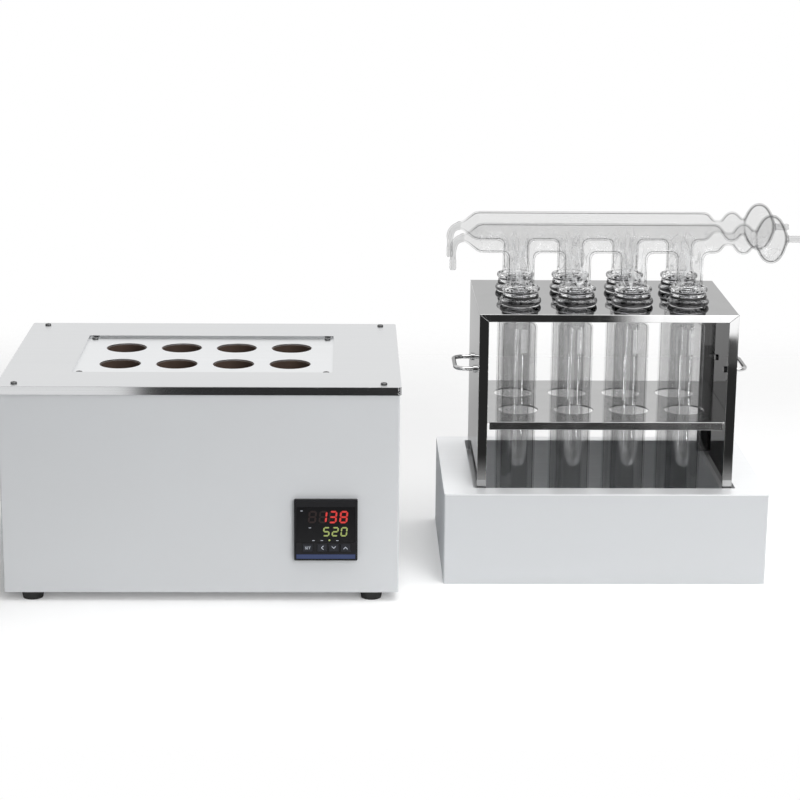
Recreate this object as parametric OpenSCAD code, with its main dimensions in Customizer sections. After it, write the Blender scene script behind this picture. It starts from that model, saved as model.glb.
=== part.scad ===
// Eight-place digestion set: a heating furnace beside a drip tray that holds a rack of
// glass digestion tubes under two glass fume manifolds.
// Millimetres. X runs along the bench, Y to the back, Z up, the bench top is z = 0.

/* [Furnace housing] */
// Width of the furnace housing
furnace_w = 450; // [430:1:520]
// Depth of the furnace housing
furnace_d = 320; // [300:1:380]
// Height of the furnace from the bench to the top of its cover
furnace_h = 253; // [246:1:300]
// Thickness of the housing's folded sheet
sheet_t = 1.5; // [1:0.1:2]
// Outer radius of the housing's folded front corners
bend_r = 2; // [1.8:0.1:4]
// Width of the folded flanges inside the housing
return_w = 14; // [12:1:18]
// Height of a rubber foot
foot_h = 10.5; // [8:0.5:16]
// Diameter of a foot at its top
foot_top_d = 27; // [24:0.5:29]
// Diameter of a foot at the bench
foot_base_d = 23; // [20:0.5:24]
// Distance of a foot's centre from the housing's sides
foot_inset_x = 31; // [28:1:50]
// Distance of a foot's centre from the housing's front and back
foot_inset_y = 15.5; // [15.5:0.5:40]

/* [Top cover] */
// Thickness of the stainless cover
cover_t = 1.2; // [0.8:0.1:1.5]
// Gap between the cover's flange and the housing
cover_gap = 0.3; // [0.2:0.1:0.6]
// Height of the cover's folded flange
cover_flange_h = 9.5; // [7:0.5:14]
// Distance of the cover's opening from the centres of the outer wells, along X
recess_edge_x = 50; // [46:0.5:54]
// Distance of the cover's opening from the centres of the wells, along Y
recess_edge_y = 52.5; // [48:0.5:56]
// Drop from the cover down to the hole plate
recess_drop = 3; // [2.5:0.1:4]
// Distance of a cover screw from the housing's sides
cover_screw_x = 18; // [14:1:24]
// Distance of a cover screw from the housing's front and back
cover_screw_y = 12; // [10:1:18]

/* [Heating wells] */
// Wells in a row along X
well_cols = 4; // [4:1:4]
// Rows of wells
well_rows = 2; // [2:1:2]
// Distance between wells along X
pitch_x = 66; // [65:0.5:68]
// Distance between the two rows
pitch_y = 81; // [76:0.5:84]
// Thickness of the hole plate
plate_t = 2; // [1.5:0.1:3]
// Diameter of a hole in the hole plate
plate_hole_d = 48; // [47:0.5:50]
// Bore of a ceramic well
well_bore_d = 46; // [44:0.5:46.5]
// Space between the lips of two neighbouring wells
well_space = 4; // [4:0.5:7]
// Depth of a well's bore
well_depth = 85; // [70:1:95]
// Thickness of a well's floor
well_floor = 6; // [4:0.5:8]
// Thickness of the carrier plate under the wells
carrier_t = 3; // [2:0.5:5]
// Distance of a plate screw from the recess's edges
plate_screw_inset = 7.5; // [6.5:0.5:9]

/* [Controller] */
// Side of the square controller bezel
ctl_size = 72; // [70:1:76]
// How far the bezel stands out of the housing
ctl_bezel_t = 7; // [6:0.5:10]
// Distance of the controller's centre from the housing's right side
ctl_inset = 83; // [60:1:110]
// Height of the controller's centre above the bench
ctl_z = 86.6; // [75:0.1:95]
// Depth of the controller's case behind the front sheet
ctl_case_d = 60; // [50:1:62]
// Width of a key
key_w = 11.4; // [10:0.1:12]
// Height of a key
key_h = 9; // [8:0.1:10]
// How far a key stands out of the bezel
key_proud = 0.6; // [0.4:0.1:1]
// Travel of a key
key_travel = 0.5; // [0.3:0.1:0.8]
// Gap round a key
key_gap = 0.2; // [0.15:0.05:0.3]

/* [Power inlet] */
// Width of the inlet's flange
inlet_w = 32; // [30:1:40]
// Height of the inlet's flange
inlet_h = 58; // [56:1:70]
// Thickness of the inlet's flange
inlet_t = 3; // [2:0.5:4]
// Distance of the inlet's centre from the housing's right side, seen from the front
inlet_inset = 70; // [60:1:120]
// Height of the inlet's centre above the bench
inlet_z = 66; // [60:1:110]
// Half the length of the switch rocker, about its pivot
rocker_r = 9.5; // [8:0.5:10]
// Width of the switch rocker
rocker_w = 12; // [10:0.5:14]
// Tilt of the rocker to either side
rocker_tilt = 8; // [6:1:10]

/* [Drip tray] */
// Space between the furnace and the tray
unit_gap = 54; // [40:1:120]
// How far the tray's front stands behind the furnace's front
tray_setback = 59; // [30:1:70]
// Height of the tray
tray_h = 110; // [100:1:125]
// Space between the rack and the opening in the tray's rim
rack_play = 4; // [3:0.5:6]
// Width of the rim on either side of the opening
rim_side = 35; // [30:1:50]
// Width of the rim in front of the opening
rim_front = 25; // [20:1:30]
// Width of the rim behind the opening
rim_back = 17; // [14:1:30]
// Thickness of the stainless basin
basin_t = 1.5; // [1:0.1:2]
// Width of the basin's ledge that carries the rack
ledge_w = 11; // [9:0.5:14]
// Depth of that ledge below the rim
rack_sink = 12; // [8:1:20]
// Height of the basin's floor above the bench
basin_floor_z = 10; // [6:1:14]

/* [Rack] */
// Distance of the rack's sides from the centres of the outer tubes
rack_edge_x = 51; // [48:0.5:56]
// Distance of the rack's front and back from the centres of the tubes
rack_edge_y = 59.5; // [54:0.5:64]
// Height of the rack's top plate above the bench
rack_top_z = 317; // [305:1:330]
// Thickness of the rack's sheet
rack_t = 2; // [1.5:0.1:2.5]
// Width of the side panels' folded flanges
side_flange = 11; // [9:0.5:13]
// Height of the top plate's folded flanges
top_flange = 9; // [8:0.5:12]
// Distance from the top plate down to the shelf
shelf_drop = 128; // [100:1:145]
// Height of the shelf's folded flange
shelf_flange = 9.5; // [8:0.5:12]
// Space between the shelf's flange and the side panels' flanges
shelf_gap = 2.5; // [1:0.5:4]
// Clearance round a tube in the top plate
plate_clear = 1; // [0.5:0.1:1.5]
// Clearance round a tube in the shelf
shelf_clear = 2.5; // [1:0.5:3]

/* [Handles] */
// Diameter of a handle's rod
rod_d = 5; // [4:0.5:6]
// How far a handle stands out of the rack
handle_out = 26; // [22:1:36]
// Distance between a handle's two ends
handle_span = 62; // [54:1:80]
// Bend radius of a handle's rod
handle_bend = 12; // [8:1:16]
// Distance from the top plate down to the handles
handle_drop = 81; // [55:1:100]

/* [Digestion tubes] */
// Outer diameter of a digestion tube
tube_od = 42; // [40:0.5:43]
// Wall of a digestion tube
tube_wall = 2; // [1.5:0.1:2.5]
// Space between a tube's lower end and the basin's floor
tube_lift = 16; // [12:1:30]
// Outer diameter of a tube's neck
neck_od = 31; // [29:0.5:33]
// Length of the neck under the rim
neck_len = 21; // [14:1:26]
// Radius of the tube's shoulder
shoulder_r = 7; // [5:0.5:9]
// Diameter of a tube's rim bead
rim_d = 49; // [47:0.5:52]
// Height of a tube's rim bead
rim_h = 9; // [7:0.5:10]

/* [Fume manifolds] */
// Height of the main tube's axis above the rack's top plate
main_rise = 78.5; // [70:0.5:90]
// Outer diameter of the main tube
main_od = 35; // [34:0.5:38]
// Wall of the manifold's glass
glass_wall = 1.8; // [1.5:0.1:2]
// Left end of the main tube from the rack's middle
main_left = 149; // [140:1:155]
// Right end of the main tube from the rack's middle
main_right = 136; // [130:1:140]
// Radius of the main tube's right end
main_end_r = 9; // [6:0.5:12]
// Outer diameter of a leg
leg_od = 32; // [30:0.5:33]
// Diameter of a leg's upper flange
foot_flange_d = 45; // [42:0.5:48]
// Height of a leg's upper flange
foot_flange_h = 4.8; // [4:0.1:6]
// Diameter of a leg's lower flange
foot_ring_d = 42; // [40:0.5:44]
// Height of a leg's lower flange
foot_ring_h = 3.5; // [3:0.1:5]
// Height of the groove between the flanges
groove_h = 2; // [1.6:0.1:3]
// Diameter of the groove's floor
groove_d = 34; // [33.5:0.5:36]
// Thickness of the flat gasket under a leg
gasket_t = 2.2; // [1.5:0.1:3]
// Height over which a leg's bore widens above its foot
leg_flare = 7; // [5:0.5:10]
// Length of the spigot that centres a leg in its tube
spigot_len = 9; // [6:0.5:12]
// Radial clearance of the spigot in a tube's neck
spigot_gap = 1; // [0.6:0.1:1.5]
// Length of the taper at the left end
taper_len = 17; // [14:1:20]
// Outer diameter of the elbow
elbow_od = 8.5; // [8:0.5:10]
// Bend radius of the elbow
elbow_bend = 13; // [11:0.5:16]
// Height of the left barb's tip above the rack's top plate
barb_tip_rise = 40.5; // [34:0.5:44]
// Diameter of the first neck
neck_1_d = 15; // [13:0.5:17]
// Distance from the main tube's end to the small bulb's middle
bulb_1_x = 25; // [23:0.5:28]
// Diameter of the small bulb
bulb_1_d = 36.5; // [34:0.5:40]
// Length of the small bulb
bulb_1_len = 23; // [20:0.5:25]
// Diameter of the second neck
neck_2_d = 19; // [16:0.5:20]
// Distance between the two bulbs' middles
bulb_gap = 32.5; // [31:0.5:36]
// Diameter of the big bulb
bulb_2_d = 57; // [52:0.5:60]
// Length of the big bulb
bulb_2_len = 36; // [34:0.5:38]
// Length of the right barb outside the big bulb
barb_len = 18; // [16:0.5:24]
// Diameter over a barb's ribs
barb_d = 8; // [7:0.1:9]
// Diameter of a barb between its ribs
barb_root_d = 6.4; // [6:0.1:6.8]
// Bore of a barb
barb_bore_d = 3.6; // [3:0.1:4]
// Ribs on a barb
barb_ribs = 3; // [2:1:3]

/* [Hidden] */
$fn = 64;

// Overlap of a cutting tool past the face that it cuts
cut = 1;

// Screws: shank and head of the small pan head screws, and the hole that they pass
screw_d = 4;
screw_head_d = 7.5;
screw_head_h = 2;
screw_hole_d = 4.4;
cover_screw_len = 10;
plate_screw_len = 12;
panel_screw_len = 8;

// Air slots: length, height and steps, in the base plate and in the rear panel
base_slot_len = 34;
base_slot_h = 4;
base_slot_step_x = 60;
base_slot_step_y = 14;
rear_slot_len = 48;
rear_slot_h = 5;
rear_slot_step_x = 66;
rear_slot_step_y = 12;

// Distance of the terminal block's front from the housing's back
block_inset = 60;

// Wells in a row span this much, centre to centre, and so do the tubes
span_x = (well_cols - 1) * pitch_x;
span_y = (well_rows - 1) * pitch_y;
recess_w = span_x + 2 * recess_edge_x;
recess_d = span_y + 2 * recess_edge_y;

// Heights in the furnace
cover_over = cover_t + cover_gap;
wall_top = furnace_h - cover_t;
base_top = foot_h + sheet_t;
plate_top = furnace_h - recess_drop;
well_top = plate_top - plate_t;
well_base = well_top - well_depth - well_floor;
carrier_base = well_base - carrier_t;

// Wells, heater bands and the jacket round them
well_lip_w = 2;
well_lip_h = 4;
well_lip_d = min(pitch_x, pitch_y) - well_space;
well_od = well_lip_d - 2 * well_lip_w;
band_gap = 0.2;
band_t = 1.6;
jacket_bore_d = well_lip_d + 1;
jacket_margin = 4;
jacket_w = span_x + jacket_bore_d + 2 * jacket_margin;
jacket_d = span_y + jacket_bore_d + 2 * jacket_margin;
jacket_gap = 0.3;
plate_border = 14;
post_x = recess_w / 2 - plate_screw_inset;
post_y = recess_d / 2 - plate_screw_inset;
post_d = 8;
post_foot_d = 12;
probe_d = 4;
probe_gap = 0.3;

// Controller, measured from its centre
ctl_cut = ctl_size - 3.6;
ctl_case = ctl_cut - 0.6;
film_w = ctl_size - 5.5;
film_top = ctl_size / 2 - 8;
film_depth = 1.2;
display_h = 42;
display_gap = 0.2;
key_row_z = -20.4;
key_xs = [-20.6, -4.3, 9, 22.3];
key_depth = 2.4;

// Power inlet and switch, measured from the inlet's centre
socket_w = 24.5;
socket_h = 17;
socket_depth = 16;
socket_z = -inlet_h / 2 + socket_h / 2 + 5;
rocker_z = inlet_h / 2 - rocker_r - 5;
rocker_gap = 0.4;
rocker_valley = 3;
rocker_tip = rocker_valley + rocker_r * tan(rocker_tilt);
rocker_out = rocker_tip * cos(rocker_tilt) + rocker_r * sin(rocker_tilt);

// Digestion tube heights
rim_top_z = rack_top_z + rim_h;
tube_base_z = basin_floor_z + tube_lift;
tube_len = rim_top_z - tube_base_z;
shoulder_z = rack_top_z - neck_len;
neck_id = neck_od - 2 * tube_wall;

// Manifold heights and stations along X, from the rack's middle
gasket_top_z = rim_top_z + gasket_t;
ring_top_z = gasket_top_z + foot_ring_h;
groove_top_z = ring_top_z + groove_h;
flange_top_z = groove_top_z + foot_flange_h;
main_z = rack_top_z + main_rise;
bulb_1_at = main_right + bulb_1_x;
bulb_2_at = bulb_1_at + bulb_gap;
barb_from = bulb_2_at + bulb_2_len / 2;
barb_end = barb_from + barb_len;
elbow_at = -main_left - taper_len;
barb_down_x = elbow_at - elbow_bend;
barb_down_top = main_z - elbow_bend;
barb_tip_z = rack_top_z + barb_tip_rise;

// Rack and tray
rack_w = span_x + 2 * rack_edge_x;
rack_d = span_y + 2 * rack_edge_y;
opening_w = rack_w + 2 * rack_play;
opening_d = rack_d + 2 * rack_play;
tray_w = opening_w + 2 * rim_side;
tray_d = opening_d + rim_front + rim_back;
shelf_z = rack_top_z - shelf_drop;
handle_z = rack_top_z - handle_drop;
ledge_z = tray_h - rack_sink;
tray_shift_y = (rim_back - rim_front) / 2;
tray_corner_r = 2;

// Places: the origin is the middle of the whole set's footprint
rack_from_corner_x = furnace_w + unit_gap + tray_w / 2;
rack_from_corner_y = tray_setback + rim_front + opening_d / 2;
front_reach = ctl_bezel_t + key_proud;
back_reach = inlet_t + rocker_out;
x_mid = (rack_from_corner_x + barb_end - cover_over) / 2;
y_mid = (furnace_d + back_reach - front_reach) / 2;
furnace_at = [furnace_w / 2 - x_mid, furnace_d / 2 - y_mid, 0];
rack_at = [rack_from_corner_x - x_mid, rack_from_corner_y - y_mid, 0];
ctl_at = [furnace_w / 2 - ctl_inset, -furnace_d / 2, ctl_z];
inlet_at = [furnace_w / 2 - inlet_inset, furnace_d / 2, inlet_z];

// Colours
paint = "#d6d7d8";
steel = "#c3c5c8";
mirror_steel = "#8d9094";
black_plastic = "#1c1d20";
rubber = "#19191a";
ceramic = "#3a302b";
fibre = "#e8e4da";
clear_glass = [0.82, 0.88, 0.9, 0.45];

// Grid places of the wells and tubes, front row first
function grid(i) = [
  (((i - 1) % well_cols) - (well_cols - 1) / 2) * pitch_x,
  (floor((i - 1) / well_cols) - (well_rows - 1) / 2) * pitch_y
];
places = [for (i = [1 : well_cols * well_rows]) grid(i)];

module in_furnace() {
  translate(furnace_at) children();
}

module in_rack() {
  translate(rack_at) children();
}

// Four places, mirrored about the middle
module four(x, y) {
  for (sx = [-1, 1], sy = [-1, 1]) translate([sx * x, sy * y, 0]) children();
}

module rounded_rect(w, d, r) {
  square([w - 2 * r, d], center = true);
  square([w, d - 2 * r], center = true);
  four(w / 2 - r, d / 2 - r) circle(r);
}

// A plate of which z is the underside
module rounded_plate(w, d, r, z, t) {
  translate([0, 0, z]) linear_extrude(t) rounded_rect(w, d, r);
}

// A box from a corner, with a size
module box_at(corner, size) {
  translate(corner) cube(size);
}

// A slot through a sheet, long in X
module slot(len, h, depth) {
  linear_extrude(depth, center = true) rounded_rect(len, h, h / 2 - 0.01);
}

// Turns the XY plane of a drawing to face the front, with its Z to the back
module facing_front() {
  rotate([90, 0, 0]) mirror([0, 0, 1]) children();
}

// A pan head screw, head up, of which z = 0 is the seat
module pan_screw(len) {
  translate([0, 0, -len]) cylinder(d = screw_d, h = len);
  difference() {
    rotate_extrude() {
      square([screw_head_d / 2, screw_head_h / 2]);
      square([screw_head_d / 2 - screw_head_h / 2, screw_head_h]);
      translate([screw_head_d / 2 - screw_head_h / 2, screw_head_h / 2]) circle(screw_head_h / 2);
    }
    for (turn = [0, 90]) rotate([0, 0, turn])
      translate([0, 0, screw_head_h]) cube([screw_head_d * 0.55, 0.9, screw_head_h], center = true);
  }
}

// Folded wrapper of the furnace: the front and two sides, with flanges inside
module wrapper_plan() {
  difference() {
    union() {
      translate([-furnace_w / 2, -furnace_d / 2 + bend_r]) square([furnace_w, furnace_d - bend_r]);
      translate([-furnace_w / 2 + bend_r, -furnace_d / 2]) square([furnace_w - 2 * bend_r, bend_r]);
      for (side = [-1, 1])
        translate([side * (furnace_w / 2 - bend_r), -furnace_d / 2 + bend_r]) circle(bend_r);
    }
    translate([-furnace_w / 2 + sheet_t, -furnace_d / 2 + sheet_t])
      square([furnace_w - 2 * sheet_t, furnace_d]);
  }
}

module housing_shell() {
  inner_w = furnace_w - 2 * sheet_t;
  tab_w = cover_screw_x + return_w / 2;
  tab_d = cover_screw_y + return_w / 2;
  wall_h = wall_top - foot_h;
  color(paint) in_furnace() difference() {
    union() {
      translate([0, 0, foot_h]) linear_extrude(wall_h) wrapper_plan();
      for (side = [0, 1]) mirror([side, 0, 0]) {
        box_at([furnace_w / 2 - sheet_t - return_w, furnace_d / 2 - 2 * sheet_t, base_top],
               [return_w, sheet_t, wall_h - sheet_t]);
        box_at([furnace_w / 2 - sheet_t - return_w, -furnace_d / 2 + sheet_t, base_top],
               [return_w, furnace_d - 3 * sheet_t, sheet_t]);
        for (y = [-furnace_d / 2 + sheet_t, furnace_d / 2 - 2 * sheet_t - tab_d])
          box_at([furnace_w / 2 - sheet_t - tab_w, y, wall_top - sheet_t], [tab_w, tab_d, sheet_t]);
      }
      box_at([-inner_w / 2, -furnace_d / 2 + sheet_t, base_top], [inner_w, return_w, sheet_t]);
    }
    translate(ctl_at) cube([ctl_cut, 4 * sheet_t, ctl_cut], center = true);
    four(furnace_w / 2 - cover_screw_x, furnace_d / 2 - cover_screw_y)
      translate([0, 0, wall_top - 2 * sheet_t]) cylinder(d = screw_hole_d, h = 4 * sheet_t);
    four(furnace_w / 2 - foot_inset_x, furnace_d / 2 - foot_inset_y)
      translate([0, 0, base_top - cut]) cylinder(d = screw_head_d + cut, h = sheet_t + 2 * cut);
    panel_screw_places() rotate([-90, 0, 0])
      translate([0, 0, -4 * sheet_t]) cylinder(d = screw_hole_d, h = 4 * sheet_t);
  }
}

// Where the rear panel's screws go, on the panel's outer face
module panel_screw_places() {
  screw_x = furnace_w / 2 - sheet_t - return_w / 2;
  for (side = [-1, 1], share = [0.12, 0.5, 0.88])
    translate([side * screw_x, furnace_d / 2, base_top + (wall_top - base_top) * share]) children();
}

// Rows of air slots, drawn in the XY plane
module vent_rows(cols, rows, len, h, step_x, step_y) {
  for (c = [0 : cols - 1], r = [0 : rows - 1])
    translate([(c - (cols - 1) / 2) * step_x, (r - (rows - 1) / 2) * step_y, 0])
      slot(len, h, 4 * sheet_t);
}

module base_plate() {
  plate_w = furnace_w - 2 * sheet_t;
  plate_d = furnace_d - 2 * sheet_t;
  color(paint) in_furnace() translate([0, 0, foot_h]) difference() {
    translate([-plate_w / 2, -plate_d / 2, 0]) cube([plate_w, plate_d, sheet_t]);
    four(furnace_w / 2 - foot_inset_x, furnace_d / 2 - foot_inset_y)
      translate([0, 0, -cut]) cylinder(d = screw_hole_d, h = sheet_t + 2 * cut);
    vent_rows(4, 6, base_slot_len, base_slot_h, base_slot_step_x, base_slot_step_y);
  }
}

module rear_panel() {
  panel_w = furnace_w - 2 * sheet_t;
  panel_h = wall_top - base_top;
  vent_z = base_top + panel_h * 0.62;
  color(paint) in_furnace() difference() {
    box_at([-panel_w / 2, furnace_d / 2 - sheet_t, base_top], [panel_w, sheet_t, panel_h]);
    translate([0, furnace_d / 2, vent_z]) rotate([90, 0, 0])
      vent_rows(4, 7, rear_slot_len, rear_slot_h, rear_slot_step_x, rear_slot_step_y);
    translate(inlet_at) cube([inlet_body_w(), 4 * sheet_t, inlet_body_h()], center = true);
    panel_screw_places() rotate([90, 0, 0]) translate([0, 0, -cut])
      cylinder(d = screw_hole_d, h = sheet_t + 2 * cut);
  }
}

// Stainless cover: a tray turned upside down, with a lipped opening
module top_cover() {
  outer_w = furnace_w + 2 * cover_over;
  outer_d = furnace_d + 2 * cover_over;
  outer_r = bend_r + cover_over;
  color(steel) in_furnace() difference() {
    union() {
      difference() {
        rounded_plate(outer_w, outer_d, outer_r, furnace_h - cover_flange_h, cover_flange_h);
        rounded_plate(outer_w - 2 * cover_t, outer_d - 2 * cover_t, outer_r - cover_t,
                      furnace_h - cover_flange_h - cut, cover_flange_h - cover_t + cut);
      }
      rounded_plate(recess_w + 2 * cover_t, recess_d + 2 * cover_t, bend_r + cover_t,
                    plate_top, recess_drop);
    }
    rounded_plate(recess_w, recess_d, bend_r, plate_top - cut, recess_drop + 2 * cut);
    four(furnace_w / 2 - cover_screw_x, furnace_d / 2 - cover_screw_y)
      translate([0, 0, wall_top - cut]) cylinder(d = screw_hole_d, h = cover_t + 2 * cut);
  }
}

module hole_plate() {
  color(steel) in_furnace() difference() {
    rounded_plate(recess_w + 2 * plate_border, recess_d + 2 * plate_border, bend_r, well_top, plate_t);
    for (p = places) translate([p.x, p.y, well_top - cut])
      cylinder(d = plate_hole_d, h = plate_t + 2 * cut);
    four(post_x, post_y) translate([0, 0, well_top - cut])
      cylinder(d = screw_hole_d, h = plate_t + 2 * cut);
  }
}

// Ceramic cup with a lip under the hole plate
module heating_well(i) {
  color(ceramic) in_furnace() translate([grid(i).x, grid(i).y, well_base]) difference() {
    union() {
      cylinder(d = well_od, h = well_top - well_base);
      translate([0, 0, well_top - well_base - well_lip_h]) cylinder(d = well_lip_d, h = well_lip_h);
    }
    translate([0, 0, well_floor]) cylinder(d = well_bore_d, h = well_depth + cut);
  }
}

// Mica band heaters, one round each well
module heater_bands() {
  band_h = well_depth - well_lip_h - 2 * well_floor;
  color("#9c8b63") in_furnace() for (p = places)
    translate([p.x, p.y, well_base + well_floor]) difference() {
      cylinder(d = well_od + 2 * (band_gap + band_t), h = band_h);
      translate([0, 0, -cut]) cylinder(d = well_od + 2 * band_gap, h = band_h + 2 * cut);
    }
}

module insulation_jacket() {
  jacket_h = well_top - well_base - jacket_gap;
  color(fibre) in_furnace() translate([0, 0, well_base]) difference() {
    translate([-jacket_w / 2, -jacket_d / 2, 0]) cube([jacket_w, jacket_d, jacket_h]);
    for (p = places) translate([p.x, p.y, -cut]) cylinder(d = jacket_bore_d, h = jacket_h + 2 * cut);
    translate([0, 0, -cut]) cylinder(d = probe_d + 2 * probe_gap, h = jacket_h + 2 * cut);
  }
}

module well_carrier() {
  carrier_w = 2 * post_x + 2 * post_foot_d;
  carrier_d = 2 * post_y + 2 * post_foot_d;
  color(steel) in_furnace() difference() {
    rounded_plate(carrier_w, carrier_d, post_d / 2, carrier_base, carrier_t);
    translate([0, 0, carrier_base - cut]) cylinder(d = probe_d + 2 * probe_gap, h = carrier_t + 2 * cut);
    four(post_x, post_y) translate([0, 0, carrier_base - cut])
      cylinder(d = post_d + 2 * probe_gap, h = carrier_t + 2 * cut);
  }
}

// Stepped posts from the base plate, through the carrier, to the hole plate
module carrier_posts() {
  screw_space = 16;
  color(steel) in_furnace() four(post_x, post_y) difference() {
    union() {
      translate([0, 0, base_top]) cylinder(d = post_foot_d, h = carrier_base - base_top);
      translate([0, 0, carrier_base]) cylinder(d = post_d, h = well_top - carrier_base);
    }
    translate([0, 0, well_top - screw_space]) cylinder(d = screw_hole_d, h = screw_space + cut);
  }
}

// Sheathed probe that stands up through the carrier into the jacket
module thermocouple() {
  gland_h = 10;
  color(steel) in_furnace() {
    translate([0, 0, carrier_base - gland_h]) cylinder(d = 3 * probe_d, h = gland_h, $fn = 6);
    translate([0, 0, carrier_base]) cylinder(d = probe_d, h = well_depth);
  }
}

// Front frame of the controller, drawn facing the front with z = 0 at its face
module controller_bezel() {
  step = 1.5;
  color(black_plastic) in_furnace() translate(ctl_at) translate([0, -ctl_bezel_t, 0])
    facing_front() difference() {
      union() {
        linear_extrude(step) rounded_rect(ctl_size - 2 * step, ctl_size - 2 * step, step);
        translate([0, 0, step]) linear_extrude(ctl_bezel_t - step) rounded_rect(ctl_size, ctl_size, step);
      }
      translate([0, film_top - display_h / 2, 0])
        cube([film_w, display_h, 2 * film_depth], center = true);
      for (x = key_xs) translate([x, key_row_z, 0])
        cube([key_w + 2 * key_gap, key_h + 2 * key_gap, 2 * (key_depth + key_travel + key_gap)],
             center = true);
    }
}

module controller_display() {
  color("#0c0c0e") in_furnace() translate(ctl_at) translate([0, -ctl_bezel_t, 0])
    facing_front() translate([0, film_top - display_h / 2, 0])
      linear_extrude(film_depth)
        square([film_w - 2 * display_gap, display_h - 2 * display_gap], center = true);
}

module controller_case() {
  ridge_h = 5;
  color(black_plastic) in_furnace() translate(ctl_at) {
    translate([-ctl_case / 2, 0, -ctl_case / 2]) cube([ctl_case, ctl_case_d, ctl_case]);
    for (s = [-1, 1]) translate([-ctl_case / 3, ctl_case_d, s * ctl_case / 4 - ridge_h / 2])
      cube([ctl_case * 2 / 3, ridge_h, ridge_h]);
  }
}

// Clips on the case's sides that press the bezel against the front sheet
module controller_clamps() {
  clamp_w = 5;
  clamp_len = 30;
  clamp_h = 14;
  color(black_plastic) in_furnace() translate(ctl_at) for (side = [0, 1]) mirror([side, 0, 0])
    difference() {
      box_at([ctl_case / 2, sheet_t, -clamp_h / 2], [clamp_w, clamp_len, clamp_h]);
      translate([ctl_case / 2 + clamp_w, sheet_t + clamp_len / 2, 0])
        cube([clamp_w, clamp_len * 0.5, clamp_h * 0.4], center = true);
    }
}

// One key, a rounded cap that slides in its pocket
module key(i) {
  key_r = 1;
  color("#2a2b30") in_furnace() translate(ctl_at) translate([0, -ctl_bezel_t - key_proud, 0])
    facing_front() translate([key_xs[i], key_row_z, 0]) {
      linear_extrude(key_proud) rounded_rect(key_w - key_r, key_h - key_r, key_r);
      translate([0, 0, key_proud]) linear_extrude(key_depth) rounded_rect(key_w, key_h, key_r);
    }
}

function inlet_body_w() = inlet_w - 4;
function inlet_body_h() = inlet_h - 4;

// Three-pin inlet and switch housing in the rear panel, drawn with z = 0 at the panel, out to the back
module power_inlet() {
  body_depth = 24;
  pin_gap = 7;
  pin_len = 12;
  color(black_plastic) in_furnace() translate(inlet_at) rotate([-90, 0, 0]) mirror([0, 1, 0]) {
    difference() {
      union() {
        linear_extrude(inlet_t) rounded_rect(inlet_w, inlet_h, 2);
        translate([0, 0, -body_depth]) linear_extrude(body_depth)
          square([inlet_body_w() - key_gap, inlet_body_h() - key_gap], center = true);
      }
      translate([0, socket_z, inlet_t - socket_depth]) linear_extrude(socket_depth + cut)
        rounded_rect(socket_w, socket_h, 2);
      translate([0, rocker_z, inlet_t - rocker_r - rocker_gap])
        linear_extrude(rocker_r + rocker_gap + cut)
          square([rocker_w + 2 * rocker_gap, 2 * (rocker_r + rocker_gap)], center = true);
    }
    for (side = [-1, 0, 1])
      translate([side * pin_gap, socket_z + (side == 0 ? 2 : 0), inlet_t - socket_depth])
        linear_extrude(pin_len) square([2, 4], center = true);
  }
}

// Switch rocker in its off position, drawn in profile and turned about its pivot
module power_rocker() {
  color("#26262a") in_furnace() translate(inlet_at)
    translate([0, inlet_t, rocker_z]) rotate([rocker_tilt, 0, 0]) rotate([90, 0, 90])
      linear_extrude(rocker_w, center = true) intersection() {
        union() {
          circle(rocker_r);
          translate([0, -rocker_r]) square([rocker_tip, 2 * rocker_r]);
        }
        polygon([[rocker_valley, 0], [rocker_tip, rocker_r], [0, rocker_r], [-rocker_r, 0],
                 [0, -rocker_r], [rocker_tip, -rocker_r]]);
      }
}

// Finned heat sink on the base plate, with the solid-state relay on top
sink_size = [60, 80, 28];
sink_at = [-furnace_w / 4, 0, base_top];
relay_size = [45, 58, 22];

module relay_heatsink() {
  fins = 8;
  fin_t = 2;
  floor_t = 6;
  step = (sink_size.x - fin_t) / (fins - 1);
  color(steel) in_furnace() translate(sink_at) {
    translate([-sink_size.x / 2, -sink_size.y / 2, sink_size.z - floor_t])
      cube([sink_size.x, sink_size.y, floor_t]);
    for (f = [0 : fins - 1])
      translate([-sink_size.x / 2 + f * step, -sink_size.y / 2, 0])
        cube([fin_t, sink_size.y, sink_size.z - floor_t]);
  }
}

module relay() {
  post_h = 4;
  color("#d8d2c2") in_furnace() translate(sink_at) translate([0, 0, sink_size.z]) {
    translate([-relay_size.x / 2, -relay_size.y / 2, 0]) cube(relay_size);
    four(relay_size.x / 3.4, relay_size.y / 2.6) translate([0, 0, relay_size.z])
      cylinder(d = screw_head_d, h = post_h);
  }
}

module terminal_block() {
  ways = 6;
  way_w = 10;
  depth = 22;
  height = 18;
  color("#e9e5d8") in_furnace() translate([furnace_w / 4 - ways * way_w / 2, furnace_d / 2 - block_inset, base_top])
    difference() {
      cube([ways * way_w, depth, height]);
      for (w = [0 : ways - 1]) translate([(w + 0.5) * way_w, depth / 2, height / 2])
        cylinder(d = way_w * 0.6, h = height);
    }
}

// Tapered rubber foot with a counterbore for its screw
foot_seat_h = 6;

module foot(i) {
  place = [for (sy = [-1, 1], sx = [-1, 1])
    [sx * (furnace_w / 2 - foot_inset_x), sy * (furnace_d / 2 - foot_inset_y), 0]][i - 1];
  color(rubber) in_furnace() translate(place) difference() {
    cylinder(d1 = foot_base_d, d2 = foot_top_d, h = foot_h);
    translate([0, 0, -cut]) cylinder(d = screw_head_d + 2, h = foot_h - foot_seat_h + cut);
    cylinder(d = screw_hole_d, h = foot_h + cut);
  }
}

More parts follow.
